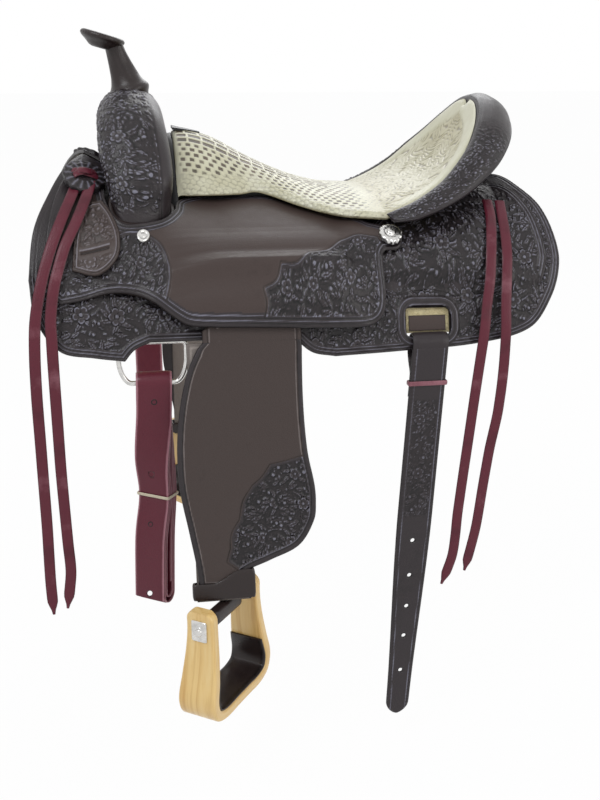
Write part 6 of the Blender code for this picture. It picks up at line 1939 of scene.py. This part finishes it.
def make_rear_billet():
    """Billet through the rear slot: its punched front run, the turn over the strip, and its lace."""
    centre = on_plane(145.0, 22.5, 13.9, -1)
    down = unit(np.array([-0.075, -0.063, -1.0]))
    wide = np.array([1.0, 0, 0])
    deep = unit(np.cross(down, wide))
    mid = BILLET_TURN + BILLET_THICK / 2

    def half_width(p):
        return BILLET_HALF * (1 - 0.33 * ss(210, BILLET_LENGTH, p))

    ps = list(np.arange(3.0, 474.0, 6.0))
    right = [(float(half_width(p)), p) for p in ps]
    tip = [(14.7 * math.cos(a) * abs(math.cos(a)) ** 0.35, 475 + 16.5 * math.sin(a))
           for a in np.linspace(0.1, math.pi - 0.1, 15)]
    loop = np.array(right + tip + [(-x, p) for x, p in reversed(right)])
    holes = [np.array([(HOLE_RADIUS * math.cos(a), p + HOLE_RADIUS * math.sin(a))
                       for a in np.arange(20) * math.pi / 10])
             for p in BILLET_HOLES]

    def place(x, v, h, side):
        x, v, h = np.broadcast_arrays(np.asarray(x, float), np.asarray(v, float), np.asarray(h, float))
        return centre + wide * x[..., None] + down * v[..., None] + deep * (mid + h)[..., None]

    def relief(x, v, distance):
        edge = half_width(v) - np.abs(x)
        rest = np.clip((v - 66) / 4, 0, 1) * np.clip((222 - v) / 6, 0, 1)
        mask = np.clip((edge - 6.5) / 1.0, 0, 1) * rest
        near = np.where(edge < 12, edge, 30)
        rise, tone = trimmed(near, (3.4,), 0.8 * mask, FINE_CARVED, (x + 40, v), 0.42)
        dots = groove(near, 3.6, 0.9) * (np.sin(v * 2 * math.pi / 4.5) > 0.1)
        return rise * 0.8 + 0.4 * dots, tone + 0.25 * dots

    def open_top(x, v, distance):
        return np.where(v < 20, np.clip(half_width(v) - np.abs(x), 0, None), distance)

    item = laid("near_rear_billet_leather", [loop] + holes, -BILLET_THICK / 2, BILLET_THICK / 2, TOOLED, -1,
                relief, place=place, step=1.4, rounded=1.1, edge=open_top)
    over = loop_points(BILLET_LENGTH, 30, BILLET_TURN, BILLET_THICK, 34.0, 4.0)
    over = over[np.where(over[:, 0] <= 4.1)[0][0]:]
    centres = centre + down * over[:, :1] + deep * over[:, 1:]
    bend = strap("near_billet_bend", centres, np.tile(wide * BILLET_HALF, (len(centres), 1)), BILLET_THICK,
                 TOOLED, 12, dome=0.0)
    body = "near_rear_strap"
    finish_piece(item, body, "tooled_leather", "near_rear_billet")
    finish_piece(bend, body, "tooled_leather")

    rows = []
    for k in range(14):
        angle = 2 * math.pi * k / 14
        grow = 1.5 + 0.85 * math.cos(angle)
        p = 47.0 + 2.9 * math.sin(angle)
        ring = rounded_box(22 + grow, 3.7 + grow, 1.6, 6, 20)
        wave = 0.25 * np.sin(ring[:, 0] * 1.1) * math.cos(angle)
        rows.append(centre + down * (p + wave[:, None]) + wide * ring[:, :1] + deep * (9.8 + ring[:, 1:]))
    item = ring_band("near_billet_lace_leather", rows, WINE, 0.8)
    finish_piece(item, body, "burgundy_leather", "near_billet_lace")


def make_off_billet():
    centre = dee_spot(0.0, 50.0, 0.0, 1)
    path = loop_points(300.0, 120, 3.5, 3.5, 26.0, 5.0)
    centres = centre + np.stack([0 * path[:, 0], path[:, 1], -path[:, 0]], 1)
    item = strap("off_billet_leather", centres, np.tile((21.0, 0, 0), (len(centres), 1)), 3.5, WINE, 12,
                 dome=0.1, pale=True)
    finish_piece(item, "off_front_strap", "burgundy_leather", "off_billet")


def dress_nodes():
    """Materials of the nodes that keep their own shape."""
    looks = {"fork": SMOOTH, "bar": SMOOTH, "board": SMOOTH, "core": STEEL, "ground": BROWN}
    for name, item in CAD.items():
        material = next((look for part, look in looks.items() if part in name), SMOOTH)
        for slot in item.material_slots:
            slot.material = material


set_camera()
set_light()
make_strings()
for label, side in SIDES:
    make_side(label, side)
    make_leg(label, side)
    make_dee(label, side)
make_swell()
make_horn()
make_seat()
make_cantle()
make_latigo()
make_rear_billet()
make_off_billet()
dress_nodes()

lists = [[[float(c) for c in corner] for corner in box] for box in (CAD_BOX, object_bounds())]
